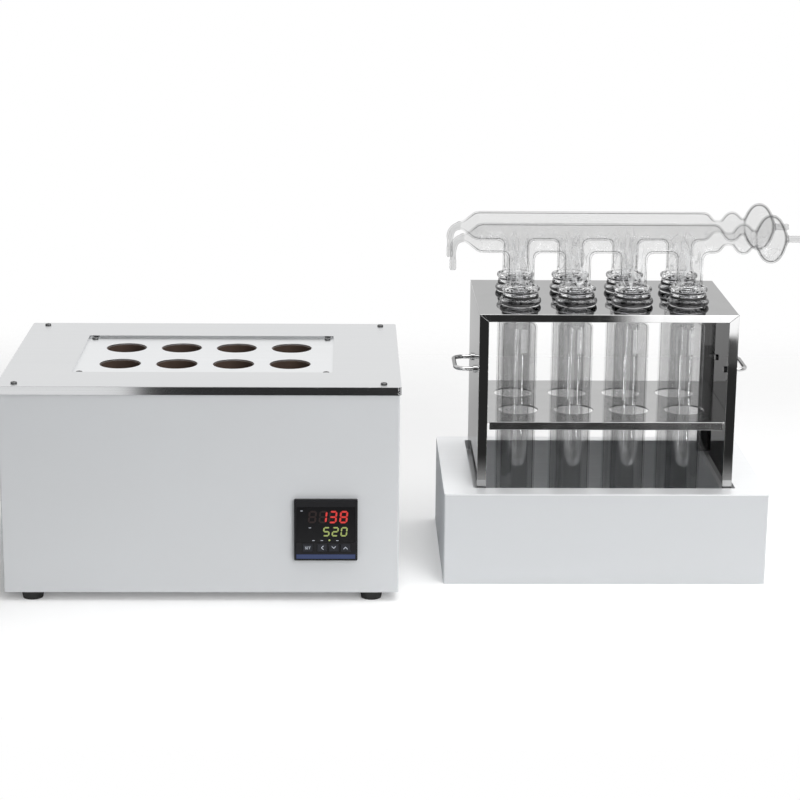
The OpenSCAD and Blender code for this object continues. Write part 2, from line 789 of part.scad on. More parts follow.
module foot_screws() {
  color(steel) in_furnace() four(furnace_w / 2 - foot_inset_x, furnace_d / 2 - foot_inset_y)
    translate([0, 0, foot_h - foot_seat_h]) mirror([0, 0, 1]) pan_screw(foot_seat_h + 2 * sheet_t);
}

module cover_screws() {
  color("#4b4c50") in_furnace() four(furnace_w / 2 - cover_screw_x, furnace_d / 2 - cover_screw_y)
    translate([0, 0, furnace_h]) pan_screw(cover_screw_len);
}

module plate_screws() {
  color("#4b4c50") in_furnace() four(post_x, post_y) translate([0, 0, plate_top])
    pan_screw(plate_screw_len);
}

module panel_screws() {
  color(steel) in_furnace() panel_screw_places() rotate([-90, 0, 0]) pan_screw(panel_screw_len);
}

// Painted outer box of the tray, open at the top
module tray_shell() {
  color(paint) in_rack() translate([0, tray_shift_y, 0]) difference() {
    rounded_plate(tray_w, tray_d, tray_corner_r, 0, tray_h - basin_t);
    rounded_plate(tray_w - 2 * sheet_t, tray_d - 2 * sheet_t, tray_corner_r - sheet_t,
                  sheet_t, tray_h);
  }
}

// Stainless basin: a flat rim, straight walls at the front and back, and a step on either
// side that carries the rack
module tray_basin() {
  low_w = opening_w - 2 * ledge_w;
  color(mirror_steel) in_rack() difference() {
    union() {
      translate([0, tray_shift_y, 0])
        rounded_plate(tray_w, tray_d, tray_corner_r, tray_h - basin_t, basin_t);
      rounded_plate(opening_w + 2 * basin_t, opening_d + 2 * basin_t, bend_r + basin_t,
                    ledge_z - basin_t, rack_sink);
      rounded_plate(low_w + 2 * basin_t, opening_d + 2 * basin_t, bend_r + basin_t,
                    basin_floor_z - basin_t, ledge_z - basin_floor_z);
    }
    rounded_plate(opening_w, opening_d, bend_r, ledge_z, rack_sink + cut);
    rounded_plate(low_w, opening_d, bend_r, basin_floor_z, tray_h);
  }
}

// Top plate with flanges folded down at the front and back, mitred at the corners
module rack_top_plate() {
  color(mirror_steel) in_rack() difference() {
    union() {
      box_at([-rack_w / 2, -rack_d / 2 + rack_t, rack_top_z - rack_t],
             [rack_w, rack_d - 2 * rack_t, rack_t]);
      for (back = [0, 1]) mirror([0, back, 0]) translate([0, -rack_d / 2, 0])
        facing_front() linear_extrude(rack_t) polygon([
          [-rack_w / 2, rack_top_z], [rack_w / 2, rack_top_z],
          [rack_w / 2 - side_flange, rack_top_z - top_flange],
          [-rack_w / 2 + side_flange, rack_top_z - top_flange]]);
    }
    for (p = places) translate([p.x, p.y, rack_top_z - rack_t - cut])
      cylinder(d = tube_od + 2 * plate_clear, h = rack_t + 2 * cut);
  }
}

// Side panel with its flanges, drawn on the right
module rack_side() {
  difference() {
    union() {
      box_at([rack_w / 2 - rack_t, -rack_d / 2 + rack_t, ledge_z],
             [rack_t, rack_d - 2 * rack_t, rack_top_z - rack_t - ledge_z]);
      for (back = [0, 1]) mirror([0, back, 0]) translate([0, -rack_d / 2, 0])
        facing_front() linear_extrude(rack_t) polygon([
          [rack_w / 2, ledge_z], [rack_w / 2, rack_top_z],
          [rack_w / 2 - side_flange, rack_top_z - top_flange],
          [rack_w / 2 - side_flange, ledge_z]]);
    }
    for (s = [-1, 1]) translate([rack_w / 2 - rack_t - cut, s * handle_span / 2, handle_z])
      rotate([0, 90, 0]) cylinder(d = screw_hole_d, h = rack_t + 2 * cut);
  }
}

module rack_left_panel() {
  color(mirror_steel) in_rack() mirror([1, 0, 0]) rack_side();
}

module rack_right_panel() {
  color(mirror_steel) in_rack() rack_side();
}

module rack_shelf() {
  shelf_w = rack_w - 2 * rack_t;
  flange_w = rack_w - 2 * side_flange - 2 * shelf_gap;
  color(mirror_steel) in_rack() difference() {
    union() {
      box_at([-shelf_w / 2, -rack_d / 2 + rack_t, shelf_z - rack_t],
             [shelf_w, rack_d - 2 * rack_t, rack_t]);
      for (back = [0, 1]) mirror([0, back, 0])
        box_at([-flange_w / 2, -rack_d / 2, shelf_z - shelf_flange], [flange_w, rack_t, shelf_flange]);
    }
    for (p = places) translate([p.x, p.y, shelf_z - rack_t - cut])
      cylinder(d = tube_od + 2 * shelf_clear, h = rack_t + 2 * cut);
  }
}

// D-shaped rod handle on the right, with collars against the panel
module handle() {
  collar_d = rod_d + 4;
  collar_t = 2.5;
  reach = handle_out - rod_d / 2;
  translate([rack_w / 2, 0, handle_z]) difference() {
    union() {
      for (s = [-1, 1]) translate([0, s * handle_span / 2, 0]) {
        rotate([0, 90, 0]) cylinder(d = rod_d, h = reach - handle_bend);
        rotate([0, 90, 0]) cylinder(d = collar_d, h = collar_t);
      }
      for (s = [0, 1]) mirror([0, s, 0])
        translate([reach - handle_bend, handle_span / 2 - handle_bend, 0])
          rotate_extrude(angle = 90) translate([handle_bend, 0]) circle(d = rod_d);
      translate([reach, 0, 0]) rotate([90, 0, 0])
        cylinder(d = rod_d, h = handle_span - 2 * handle_bend, center = true);
    }
    for (s = [-1, 1]) translate([-cut, s * handle_span / 2, 0]) rotate([0, 90, 0])
      cylinder(d = handle_thread_d, h = handle_thread_len + cut);
  }
}
handle_thread_d = 3;
handle_thread_len = 10;

module handle_left() {
  color(steel) in_rack() mirror([1, 0, 0]) handle();
}

module handle_right() {
  color(steel) in_rack() handle();
}

// Screws through the side panels into the handles' ends
module handle_screws() {
  shank_d = handle_thread_d - 0.2;
  color("#3d3e42") in_rack() for (side = [0, 1], s = [-1, 1]) mirror([side, 0, 0])
    translate([rack_w / 2 - rack_t, s * handle_span / 2, handle_z]) rotate([0, -90, 0]) {
      translate([0, 0, -rack_t - handle_thread_len + 1])
        cylinder(d = shank_d, h = rack_t + handle_thread_len - 1);
      cylinder(d = screw_head_d, h = screw_head_h);
    }
}

// Half section of a digestion tube, shrunk by the given amount
module tube_section(inset) {
  body_r = tube_od / 2 - inset;
  bend = shoulder_r - inset;
  intersection() {
    translate([0, tube_base_z]) square([rim_d, tube_len + 2 * cut]);
    union() {
      translate([0, tube_base_z + tube_od / 2]) circle(body_r);
      translate([0, tube_base_z + tube_od / 2])
        square([body_r, shoulder_z - shoulder_r - tube_base_z - tube_od / 2]);
      translate([tube_od / 2 - shoulder_r, shoulder_z - shoulder_r]) circle(bend);
      translate([0, shoulder_z - shoulder_r - cut])
        square([tube_od / 2 - shoulder_r, bend + cut]);
      translate([0, shoulder_z - shoulder_r])
        square([neck_od / 2 - inset, rim_top_z - shoulder_z + shoulder_r + (inset > 0 ? cut : 0)]);
    }
  }
}

// Round-bottomed glass tube with a shoulder, a neck and a thick rim bead that hangs on the rack
module digestion_tube(i) {
  color(clear_glass) in_rack() translate([grid(i).x, grid(i).y, 0]) rotate_extrude() difference() {
    union() {
      tube_section(0);
      translate([0, rack_top_z]) square([(rim_d - rim_h) / 2, rim_h]);
      translate([(rim_d - rim_h) / 2, rack_top_z + rim_h / 2]) circle(rim_h / 2);
    }
    tube_section(tube_wall);
  }
}

row_y = [-pitch_y / 2, pitch_y / 2];
leg_xs = [for (c = [1 : well_cols]) grid(c).x];

// Gaskets on the tube rims and O-rings in the grooves of one manifold's legs
module seals(row) {
  ring_r = groove_h / 2 - 0.1;
  color(rubber) in_rack() for (x = leg_xs) translate([x, row_y[row], 0]) {
    translate([0, 0, rim_top_z]) difference() {
      cylinder(d = foot_ring_d + 1, h = gasket_t);
      translate([0, 0, -cut]) cylinder(d = neck_id, h = gasket_t + 2 * cut);
    }
    translate([0, 0, ring_top_z + groove_h / 2]) rotate_extrude()
      translate([groove_d / 2 + ring_r + 0.1, 0]) circle(ring_r);
  }
}

module front_seals() {
  seals(0);
}

module rear_seals() {
  seals(1);
}

// Round edge ring, a flange of a leg
module edge_ring(d, h) {
  edge = h * 0.35;
  rotate_extrude() intersection() {
    square([d, h]);
    union() {
      square([d / 2 - edge, h]);
      translate([0, edge]) square([d / 2, h - 2 * edge]);
      for (y = [edge, h - edge]) translate([d / 2 - edge, y]) circle(edge);
    }
  }
}

// Half section of an oblate bulb, shrunk by the given amount
module bulb_section(d, len, at, inset) {
  translate([d / 2 - len / 2, at]) circle(len / 2 - inset);
  translate([0, at - len / 2 + inset]) square([d / 2 - len / 2, len - 2 * inset]);
}

// Half section of the glass along the main tube: taper, tube, small bulb and big bulb
module run_section(inset) {
  main_r = main_od / 2 - inset;
  intersection() {
    translate([0, elbow_at]) square([bulb_2_d, barb_end - elbow_at]);
    union() {
      polygon([[0, elbow_at], [elbow_od / 2 - inset, elbow_at], [main_r, -main_left], [0, -main_left]]);
      translate([0, -main_left]) square([main_r, main_left + main_right - main_end_r]);
      translate([main_od / 2 - main_end_r, main_right - main_end_r]) circle(main_end_r - inset);
      translate([0, main_right - main_end_r - cut])
        square([main_od / 2 - main_end_r, main_end_r - inset + cut]);
      translate([0, main_right - main_end_r]) square([neck_1_d / 2 - inset, bulb_1_x + main_end_r]);
      bulb_section(bulb_1_d, bulb_1_len, bulb_1_at, inset);
      translate([0, bulb_1_at]) square([neck_2_d / 2 - inset, bulb_gap]);
      bulb_section(bulb_2_d, bulb_2_len, bulb_2_at, inset);
    }
  }
}

// Ribbed hose stem along +Z with its tip at z = 0 and its root at z = -len
module barb(len) {
  crest = 1.6;
  slope = 1.4;
  pitch = crest + slope + 0.8;
  tip_gap = 0.6;
  translate([0, 0, -len]) cylinder(d = barb_root_d, h = len);
  rotate_extrude() for (n = [0 : barb_ribs - 1]) translate([0, -tip_gap - n * pitch])
    polygon([[0, 0], [barb_root_d / 2, 0], [barb_d / 2, -slope], [barb_d / 2, -slope - crest],
             [barb_root_d / 2, -slope - crest - 0.4], [0, -slope - crest - 0.4]]);
}

// Everything of one manifold's glass that is solid before it is hollowed
module manifold_outside() {
  translate([0, 0, main_z]) rotate([0, 90, 0]) rotate_extrude() run_section(0);
  translate([barb_end, 0, main_z]) rotate([0, 90, 0]) barb(barb_len + glass_wall);
  translate([elbow_at, 0, main_z - elbow_bend]) rotate([90, 0, 0])
    rotate([0, 0, 90]) rotate_extrude(angle = 90) translate([elbow_bend, 0]) circle(d = elbow_od);
  translate([barb_down_x, 0, 0]) {
    translate([0, 0, barb_down_top - elbow_od / 2])
      cylinder(d1 = barb_root_d, d2 = elbow_od, h = elbow_od / 2);
    translate([0, 0, barb_tip_z]) mirror([0, 0, 1]) barb(barb_down_top - elbow_od / 2 - barb_tip_z);
  }
  for (x = leg_xs) translate([x, 0, 0]) {
    translate([0, 0, flange_top_z - cut]) cylinder(d = leg_od, h = main_z - flange_top_z + cut);
    translate([0, 0, groove_top_z]) edge_ring(foot_flange_d, foot_flange_h);
    translate([0, 0, ring_top_z - cut]) cylinder(d = groove_d, h = groove_h + 2 * cut);
    translate([0, 0, gasket_top_z]) edge_ring(foot_ring_d, foot_ring_h);
    translate([0, 0, rim_top_z - spigot_len])
      cylinder(d = neck_id - 2 * spigot_gap, h = spigot_len + gasket_t + cut);
  }
}

module manifold_inside() {
  leg_bore_d = neck_id - 2 * spigot_gap - 2 * glass_wall;
  translate([0, 0, main_z]) rotate([0, 90, 0]) rotate_extrude() run_section(glass_wall);
  translate([bulb_2_at, 0, main_z]) rotate([0, 90, 0]) cylinder(d = barb_bore_d, h = barb_end);
  translate([elbow_at, 0, main_z - elbow_bend]) rotate([90, 0, 0])
    rotate([0, 0, 90]) rotate_extrude(angle = 90) translate([elbow_bend, 0])
      circle(d = elbow_od - 2 * glass_wall);
  translate([barb_down_x, 0, barb_tip_z - cut])
    cylinder(d = barb_bore_d, h = barb_down_top - barb_tip_z + 2 * cut);
  leg_id = leg_od - 2 * glass_wall;
  for (x = leg_xs) translate([x, 0, 0]) {
    translate([0, 0, rim_top_z - spigot_len - cut])
      cylinder(d = leg_bore_d, h = flange_top_z - rim_top_z + spigot_len + 2 * cut);
    translate([0, 0, flange_top_z]) cylinder(d1 = leg_bore_d, d2 = leg_id, h = leg_flare);
    translate([0, 0, flange_top_z + leg_flare - cut])
      cylinder(d = leg_id, h = main_z - flange_top_z - leg_flare + cut);
  }
}

// Blown glass manifold: four flanged legs under a main tube that ends in bulbs and hose barbs
module manifold(row) {
  color(clear_glass) in_rack() translate([0, row_y[row], 0]) difference() {
    manifold_outside();
    manifold_inside();
  }
}

module front_manifold() {
  manifold(0);
}

module rear_manifold() {
  manifold(1);
}

// Furnace
housing_shell();
base_plate();
rear_panel();
top_cover();
hole_plate();
for (i = [1 : len(places)]) heating_well(i);
heater_bands();
insulation_jacket();
well_carrier();
carrier_posts();
thermocouple();
controller_bezel();
controller_case();
controller_display();
controller_clamps();
key(0);  // key_set
key(1);  // key_shift
key(2);  // key_down
key(3);  // key_up
power_inlet();
power_rocker();
relay();
relay_heatsink();
terminal_block();
for (i = [1 : 4]) foot(i);
foot_screws();
cover_screws();
plate_screws();
panel_screws();

// Tray and rack
tray_shell();
tray_basin();
rack_top_plate();
rack_left_panel();
rack_right_panel();
rack_shelf();
handle_left();
handle_right();
handle_screws();
for (i = [1 : len(places)]) digestion_tube(i);
front_seals();
rear_seals();
front_manifold();
rear_manifold();
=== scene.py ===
"""Looks of the digestion set: painted furnace and tray, polished rack, glass tubes and manifolds."""
import math

import bmesh
import bpy
import numpy as np
from mathutils import Matrix, Vector


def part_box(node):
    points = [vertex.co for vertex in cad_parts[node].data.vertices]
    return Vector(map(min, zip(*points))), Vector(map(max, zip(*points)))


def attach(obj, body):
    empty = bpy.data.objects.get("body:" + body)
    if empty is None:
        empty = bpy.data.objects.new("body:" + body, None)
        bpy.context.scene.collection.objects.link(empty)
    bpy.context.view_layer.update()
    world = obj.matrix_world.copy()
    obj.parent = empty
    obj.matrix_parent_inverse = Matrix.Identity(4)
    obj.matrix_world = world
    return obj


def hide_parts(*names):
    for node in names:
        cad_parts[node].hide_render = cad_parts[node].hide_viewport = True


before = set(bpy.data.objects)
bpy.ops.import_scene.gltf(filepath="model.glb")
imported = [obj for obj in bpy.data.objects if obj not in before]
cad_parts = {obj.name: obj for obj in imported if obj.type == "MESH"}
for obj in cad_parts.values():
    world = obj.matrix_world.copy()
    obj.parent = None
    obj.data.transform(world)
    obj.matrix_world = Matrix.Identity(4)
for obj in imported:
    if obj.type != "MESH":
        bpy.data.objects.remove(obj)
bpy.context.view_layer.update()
MM = 0.001


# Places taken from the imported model

def middle(node):
    low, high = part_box(node)
    return (low + high) / 2


RACK = middle("rack_top_plate")
RACK_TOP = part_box("rack_top_plate")[1].z
COVER_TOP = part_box("top_cover")[1].z
BEZEL = middle("controller_bezel")
BEZEL_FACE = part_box("controller_bezel")[0].y
TUBES = [middle(f"digestion_tube_{i}") for i in range(1, 9)]
ROWS = {"front": TUBES[0].y, "rear": TUBES[4].y}
LEG_STEP = TUBES[1].x - TUBES[0].x


# Camera, solved from the corners of the furnace, tray and rack

CAMERA_PLACE = (-0.070734, -2.563501, 0.864722)
PITCH, YAW, ROLL = 0.255, 0.025, 0.009
LENS, SENSOR, FAR_CLIP = 99.87, 36, 50


def add_camera():
    ahead = math.cos(PITCH)
    forward = Vector((math.sin(YAW) * ahead, math.cos(YAW) * ahead, -math.sin(PITCH)))
    level = Vector((math.cos(YAW), -math.sin(YAW), 0))
    upright = level.cross(forward)
    right = level * math.cos(ROLL) + upright * math.sin(ROLL)
    up = upright * math.cos(ROLL) - level * math.sin(ROLL)
    data = bpy.data.cameras.new("photo_camera")
    data.sensor_width = SENSOR
    data.lens = LENS
    data.clip_end = FAR_CLIP
    camera = bpy.data.objects.new("photo_camera", data)
    turn = Matrix((right, up, -forward)).transposed().to_4x4()
    camera.matrix_world = Matrix.Translation(CAMERA_PLACE) @ turn
    bpy.context.scene.collection.objects.link(camera)
    bpy.context.scene.camera = camera


# Shader nodes, with maths written as expressions

class Socket:
    """An output of a shader node. Arithmetic on it adds Math nodes."""

    def __init__(self, finish, output):
        self.finish = finish
        self.output = output

    def maths(self, operation, first, second=None):
        sockets = {0: first}
        if second is not None:
            sockets[1] = second
        return self.finish.node("Math", {"operation": operation}, sockets)

    def __add__(self, other):
        return self.maths("ADD", self, other)

    def __radd__(self, other):
        return self.maths("ADD", other, self)

    def __sub__(self, other):
        return self.maths("SUBTRACT", self, other)

    def __rsub__(self, other):
        return self.maths("SUBTRACT", other, self)

    def __mul__(self, other):
        return self.maths("MULTIPLY", self, other)

    def __rmul__(self, other):
        return self.maths("MULTIPLY", other, self)

    def __truediv__(self, other):
        return self.maths("DIVIDE", self, other)

    def clamped(self):
        return self.finish.node("Clamp", {}, {0: self})

    def step(self, low, high):
        """0 below low, 1 above high, smooth between."""
        settings = {"interpolation_type": "SMOOTHSTEP"}
        return self.finish.node("MapRange", settings, {"Value": self, "From Min": low, "From Max": high})


class Finish:
    """A material, or the world, and the nodes in it."""

    def __init__(self, name, owner=None):
        self.owner = owner or bpy.data.materials.new(name)
        self.owner.use_nodes = True
        self.tree = self.owner.node_tree
        self.tree.nodes.clear()

    def feed(self, target, value):
        if isinstance(value, Socket):
            self.tree.links.new(value.output, target)
        elif target.type == "RGBA" and len(value) == 3:
            target.default_value = (*value, 1)
        else:
            target.default_value = value

    def node(self, kind, settings=None, sockets=None, out=0):
        made = self.tree.nodes.new("ShaderNode" + kind)
        for key, value in (settings or {}).items():
            setattr(made, key, value)
        for key, value in (sockets or {}).items():
            self.feed(made.inputs[key], value)
        return Socket(self, made.outputs[out])

    def place(self, scale=(1, 1, 1)):
        """Object coordinates in metres, stretched for a pattern."""
        coordinates = self.node("TexCoord", out=3)
        return self.node("Mapping", {}, {"Vector": coordinates, "Scale": scale})

    def noise(self, scale, detail=2.0, stretch=(1, 1, 1)):
        sockets = {"Vector": self.place(stretch), "Scale": scale, "Detail": detail}
        return self.node("TexNoise", {}, sockets)

    def mix(self, share, first, second):
        return self.node("Mix", {"data_type": "RGBA"}, {0: share, 6: first, 7: second}, out=2)

    def bump(self, height, strength, distance):
        return self.node("Bump", {}, {"Height": height, "Strength": strength, "Distance": distance})

    def parts(self, vector):
        """The X, Y and Z of a vector."""
        made = self.node("SeparateXYZ", {}, {0: vector}).output.node
        return [Socket(self, made.outputs[k]) for k in range(3)]

    def surface(self, **sockets):
        named = {key.replace("_", " "): value for key, value in sockets.items()}
        return self.node("BsdfPrincipled", {}, named)

    def done(self, shader, target="OutputMaterial"):
        end = self.tree.nodes.new("ShaderNode" + target)
        self.feed(end.inputs[0], shader)
        return self.owner


def grey(level, warm=0.0):
    return (level * (1 + warm), level, level * (1 - warm))


# Finishes

LEG_HEAD = RACK_TOP + 0.074
CORD_AND_GLINT_FADE = 0.016
FOLD_GLOSS = 0.07


def painted_finish(name, level):
    """Satin powder coat: fine orange peel and a faint unevenness of tone."""
    f = Finish(name)
    cloud = f.noise(6, 3)
    peel = f.noise(850, 2)
    speck = f.noise(2600, 1)
    tone = f.mix(cloud, grey(level * 0.985, -0.02), grey(level * 1.015, -0.028))
    height = peel * 0.7 + speck * 0.3
    shader = f.surface(
        Base_Color=tone, Roughness=0.5 + cloud * 0.1, Normal=f.bump(height, 0.12, 0.00018),
        Specular_IOR_Level=0.3)
    return f.done(shader)


def brushed_finish(name, level, rough, along=(3, 700, 700), polished_below=None, metal=1.0):
    """Brushed stainless: long fine streaks with a little soiling. Folds below a height may be polished."""
    f = Finish(name)
    streak = f.noise(1.0, 3, along)
    wide = f.noise(1.0, 2, tuple(v * 0.12 for v in along))
    cloud = f.noise(9, 3)
    tone = f.mix(streak, grey(level * 0.9, -0.012), grey(level * 1.06, -0.012))
    dull = rough + streak * 0.12 + wide * 0.06 + cloud * 0.05 - 0.1
    height = streak * 0.8 + wide * 0.4
    if polished_below is not None:
        top = f.parts(f.node("TexCoord", out=3))[2].step(polished_below - 0.0004, polished_below)
        dull = FOLD_GLOSS + top * (dull - FOLD_GLOSS)
        height = height * top
    shader = f.surface(
        Base_Color=tone, Metallic=metal, Roughness=dull, Normal=f.bump(height, 0.1, 0.00008))
    return f.done(shader)


def mirror_finish(name, level, edge, rough=0.015):
    """Polished stainless: nearly a mirror, duller when seen along its face, with faint wipe marks."""
    f = Finish(name)
    wipe = f.noise(1.0, 3, (40, 40, 7))
    scratch = f.noise(1.0, 2, (900, 900, 12))
    tone = f.mix(wipe, grey(level * 0.93), grey(level * 1.05))
    shader = f.surface(
        Base_Color=tone, Metallic=1.0, Roughness=rough + wipe.step(0.45, 0.75) * 0.03 + scratch * 0.01,
        Normal=f.bump(scratch, 0.03, 0.00004), Specular_Tint=grey(edge))
    return f.done(shader)


def glass_finish(name, clear, edge, start, full, face, brim, metal=1.0, cords_and_glints=0.0, gloss=0.5):
    """One skin of thin glass: nearly clear across its face and denser towards its outlines. A dark brim there
    is painted shade, standing in for the dark surroundings that the glass bends into view at its edges.

    Its legs may have the fine upright striae that the flame leaves in drawn glass, painted as white streaks
    which are also painted highlights standing in for the glints seen in the legs.
    """
    f = Finish(name)
    facing = f.node("LayerWeight", {}, {"Blend": 0.5}, out=1)
    rim = facing.step(start, full)
    # Where brim is dark, this darkens the outlines with painted shade.
    tone = f.mix(rim, grey(face, -0.01), grey(brim, -0.01))
    if cords_and_glints:
        height = f.parts(f.node("TexCoord", out=3))[2]
        off_line = f.noise(1.0, 1, (90, 90, 30)) - 0.5
        on_line = 1 - (off_line * off_line).step(0.0, 0.0026)
        cord_and_glint = on_line * (1 - height.step(LEG_HEAD - CORD_AND_GLINT_FADE, LEG_HEAD)) * cords_and_glints
        # The streaks are painted white: real striae of drawn glass, and painted highlights standing in for
        # the glints in the legs.
        tone = f.mix(cord_and_glint.step(0.0, 0.06), tone, grey(0.95, -0.01))
        rim = (rim + cord_and_glint).clamped()
    smear = f.noise(24, 3)
    shader = f.surface(
        Base_Color=tone, Metallic=metal, Roughness=0.01 + smear * 0.02,
        Alpha=rim * (edge - clear) + clear, Specular_IOR_Level=gloss)
    return f.done(shader)


def bead_finish(name, shade_bands):
    """Thick glass of rims and flanges: it bends what is seen through it. Its outlines and some bands are
    painted dark, painted shade standing in for the dark reflections seen through the glass.
    """
    f = Finish(name)
    facing = f.node("LayerWeight", {}, {"Blend": 0.5}, out=1)
    height = f.parts(f.node("TexCoord", out=3))[2]
    # Painted shade: the outlines and the listed bands are darkened in the colour.
    dark = facing.step(0.25, 0.75)
    soft = 0.8 * MM
    for low, high in shade_bands:
        band = height.step(low, low + soft) * (1 - height.step(high - soft, high))
        dark = dark.maths("MAXIMUM", dark, band)
    tone = f.mix(dark, (0.95, 0.95, 0.96), (0.06, 0.06, 0.063))
    return f.done(f.surface(Base_Color=tone, Roughness=0.0, IOR=1.47, Transmission_Weight=1.0))


def rubber_finish(name, level):
    f = Finish(name)
    grain = f.noise(1500, 2)
    dust = f.noise(40, 4).step(0.5, 0.8)
    tone = f.mix(dust, grey(level), grey(level * 2.2))
    shader = f.surface(Base_Color=tone, Roughness=0.55 + dust * 0.2, Normal=f.bump(grain, 0.2, 0.0001))
    return f.done(shader)


def plastic_finish(name, colour, rough, grain_scale=1900, grain=0.15):
    """Moulded plastic with a fine spark-eroded grain."""
    f = Finish(name)
    texture = f.noise(grain_scale, 2)
    wear = f.noise(60, 3)
    tone = f.mix(wear, tuple(c * 0.9 for c in colour), tuple(min(1, c * 1.12) for c in colour))
    shader = f.surface(
        Base_Color=tone, Roughness=rough + wear * 0.08, Normal=f.bump(texture, grain, 0.00006),
        Specular_IOR_Level=0.2)
    return f.done(shader)


def ceramic_finish(name):
    """Fired ceramic, browned by heat in patches that wander at random."""
    f = Finish(name)
    grain = f.noise(700, 4)
    burn = f.noise(45, 4)
    tone = f.mix(burn, (0.035, 0.022, 0.016), (0.075, 0.046, 0.033))
    shader = f.surface(Base_Color=tone, Roughness=0.62 + grain * 0.2, Normal=f.bump(grain, 0.3, 0.0002))
    return f.done(shader)


def fibre_finish(name):
    f = Finish(name)
    strands = f.noise(1.0, 5, (240, 900, 240))
    tone = f.mix(strands, (0.66, 0.62, 0.54), (0.86, 0.83, 0.77))
    shader = f.surface(Base_Color=tone, Roughness=0.95, Normal=f.bump(strands, 0.6, 0.0006))
    return f.done(shader)


def mica_finish(name):
    f = Finish(name)
    flake = f.node("TexVoronoi", {}, {"Vector": f.place(), "Scale": 320})
    tone = f.mix(flake, (0.42, 0.31, 0.15), (0.28, 0.2, 0.09))
    return f.done(f.surface(Base_Color=tone, Roughness=0.4 + flake * 0.3, Metallic=0.2))


def lamp_finish(name, colour, strength):
    """A lit segment or dot of the display."""
    f = Finish(name)
    fall = f.noise(500, 1)
    glow = f.mix(fall, tuple(c * 0.9 for c in colour), colour)
    shader = f.surface(
        Base_Color=tuple(c * 0.2 for c in colour), Roughness=0.3, Emission_Color=glow,
        Emission_Strength=strength)
    return f.done(shader)


def print_finish(name, colour):
    """Screen-printed ink."""
    f = Finish(name)
    grain = f.noise(2500, 2)
    tone = f.mix(grain, tuple(c * 0.88 for c in colour), colour)
    return f.done(f.surface(Base_Color=tone, Roughness=0.45 + grain * 0.1))


# Heights of the bands of thick glass painted dark, as painted shade.
PAINTED_SHADE_BANDS = [(RACK_TOP + 0.0006, RACK_TOP + 0.0060), (RACK_TOP + 0.0142, RACK_TOP + 0.0178)]

FINISH = {
    "painted": painted_finish("satin_grey_coat", 0.64),
    "cover": brushed_finish("brushed_cover", 0.66, 0.3, polished_below=COVER_TOP - 0.0003),
    "plate": brushed_finish("brushed_hole_plate", 0.78, 0.34),
    "mirror": mirror_finish("polished_rack", 0.5, 0.25),
    "mirror_top": mirror_finish("polished_top", 0.55, 0.66, 0.03),
    "shelf": mirror_finish("polished_shelf", 0.56, 0.72, 0.1),
    "basin": brushed_finish("brushed_basin", 0.92, 0.3, metal=0.4),
    "rod": mirror_finish("polished_rod", 0.56, 0.5, 0.1),
    "dark_screw": brushed_finish("dark_screw", 0.11, 0.35, (300, 300, 300)),
    "screw": brushed_finish("plated_screw", 0.55, 0.3, (300, 300, 300)),
    "steel": brushed_finish("mill_steel", 0.45, 0.4, (200, 60, 200)),
    "aluminium": brushed_finish("extruded_aluminium", 0.72, 0.35, (600, 4, 600)),
    # Glass finishes with a dark brim have painted shade on their outlines; blown_glass also has white streaks
    # that are partly painted highlights.
    "tube_skin": glass_finish(
        "tube_glass", clear=0.16, edge=0.6, start=0.7, full=1.0, face=0.37, brim=0.9),
    "tube_bore": glass_finish(
        "tube_bore_glass", clear=0.16, edge=0.8, start=0.6, full=0.93, face=0.37, brim=0.03),
    "head_skin": glass_finish(
        "blown_glass", clear=0.066, edge=0.75, start=0.6, full=1.0, face=0.03, brim=0.03,
        metal=0.0, cords_and_glints=0.5, gloss=1.0),
    "head_bore": glass_finish(
        "blown_bore_glass", clear=0.062, edge=0.82, start=0.58, full=0.92, face=0.03, brim=0.03,
        metal=0.0, gloss=0.0),
    "stem_glass": glass_finish(
        "drawn_stem_glass", clear=0.12, edge=0.8, start=0.35, full=0.85, face=0.2, brim=0.08, metal=0.0),
    "bead_glass": bead_finish("bead_glass", PAINTED_SHADE_BANDS),
    "rubber": rubber_finish("black_rubber", 0.012),
    "black": plastic_finish("black_moulding", (0.01, 0.01, 0.0115), 0.38),
    "key": plastic_finish("soft_key", (0.022, 0.023, 0.028), 0.45),
    "window": plastic_finish("dark_window", (0.008, 0.008, 0.009), 0.12, 300, 0.02),
    "cream": plastic_finish("cream_moulding", (0.72, 0.68, 0.58), 0.45),
    "ceramic": ceramic_finish("fired_ceramic"),
    "fibre": fibre_finish("pressed_fibre"),
    "mica": mica_finish("mica_band"),
    "red": lamp_finish("red_segment", (1.0, 0.06, 0.05), 0.52),
    "green": lamp_finish("green_segment", (0.56, 0.66, 0.2), 0.48),
    "unlit": plastic_finish("unlit_segment", (0.026, 0.017, 0.016), 0.3),
    "blue": print_finish("blue_strip", (0.028, 0.046, 0.13)),
    "ink": print_finish("pale_ink", (0.62, 0.66, 0.74)),
}

NODE_FINISH = {
    "base_plate": "painted", "rear_panel": "painted",
    "well_carrier": "steel", "carrier_posts": "steel", "thermocouple": "steel",
    "controller_case": "black", "controller_clamps": "black",
    "power_inlet": "black", "power_rocker": "black",
    "relay": "cream", "terminal_block": "cream", "relay_heatsink": "aluminium",
    "foot_screws": "screw", "panel_screws": "screw", "handle_screws": "dark_screw",
    "heater_bands": "mica", "insulation_jacket": "fibre",
    "handle_left": "rod", "handle_right": "rod",
    **{f"foot_{i}": "rubber" for i in range(1, 5)},
    **{f"heating_well_{i}": "ceramic" for i in range(1, 9)},
}


def dress(thing, finish):
    thing.data.materials.clear()
    thing.data.materials.append(FINISH[finish])


# Mesh helpers

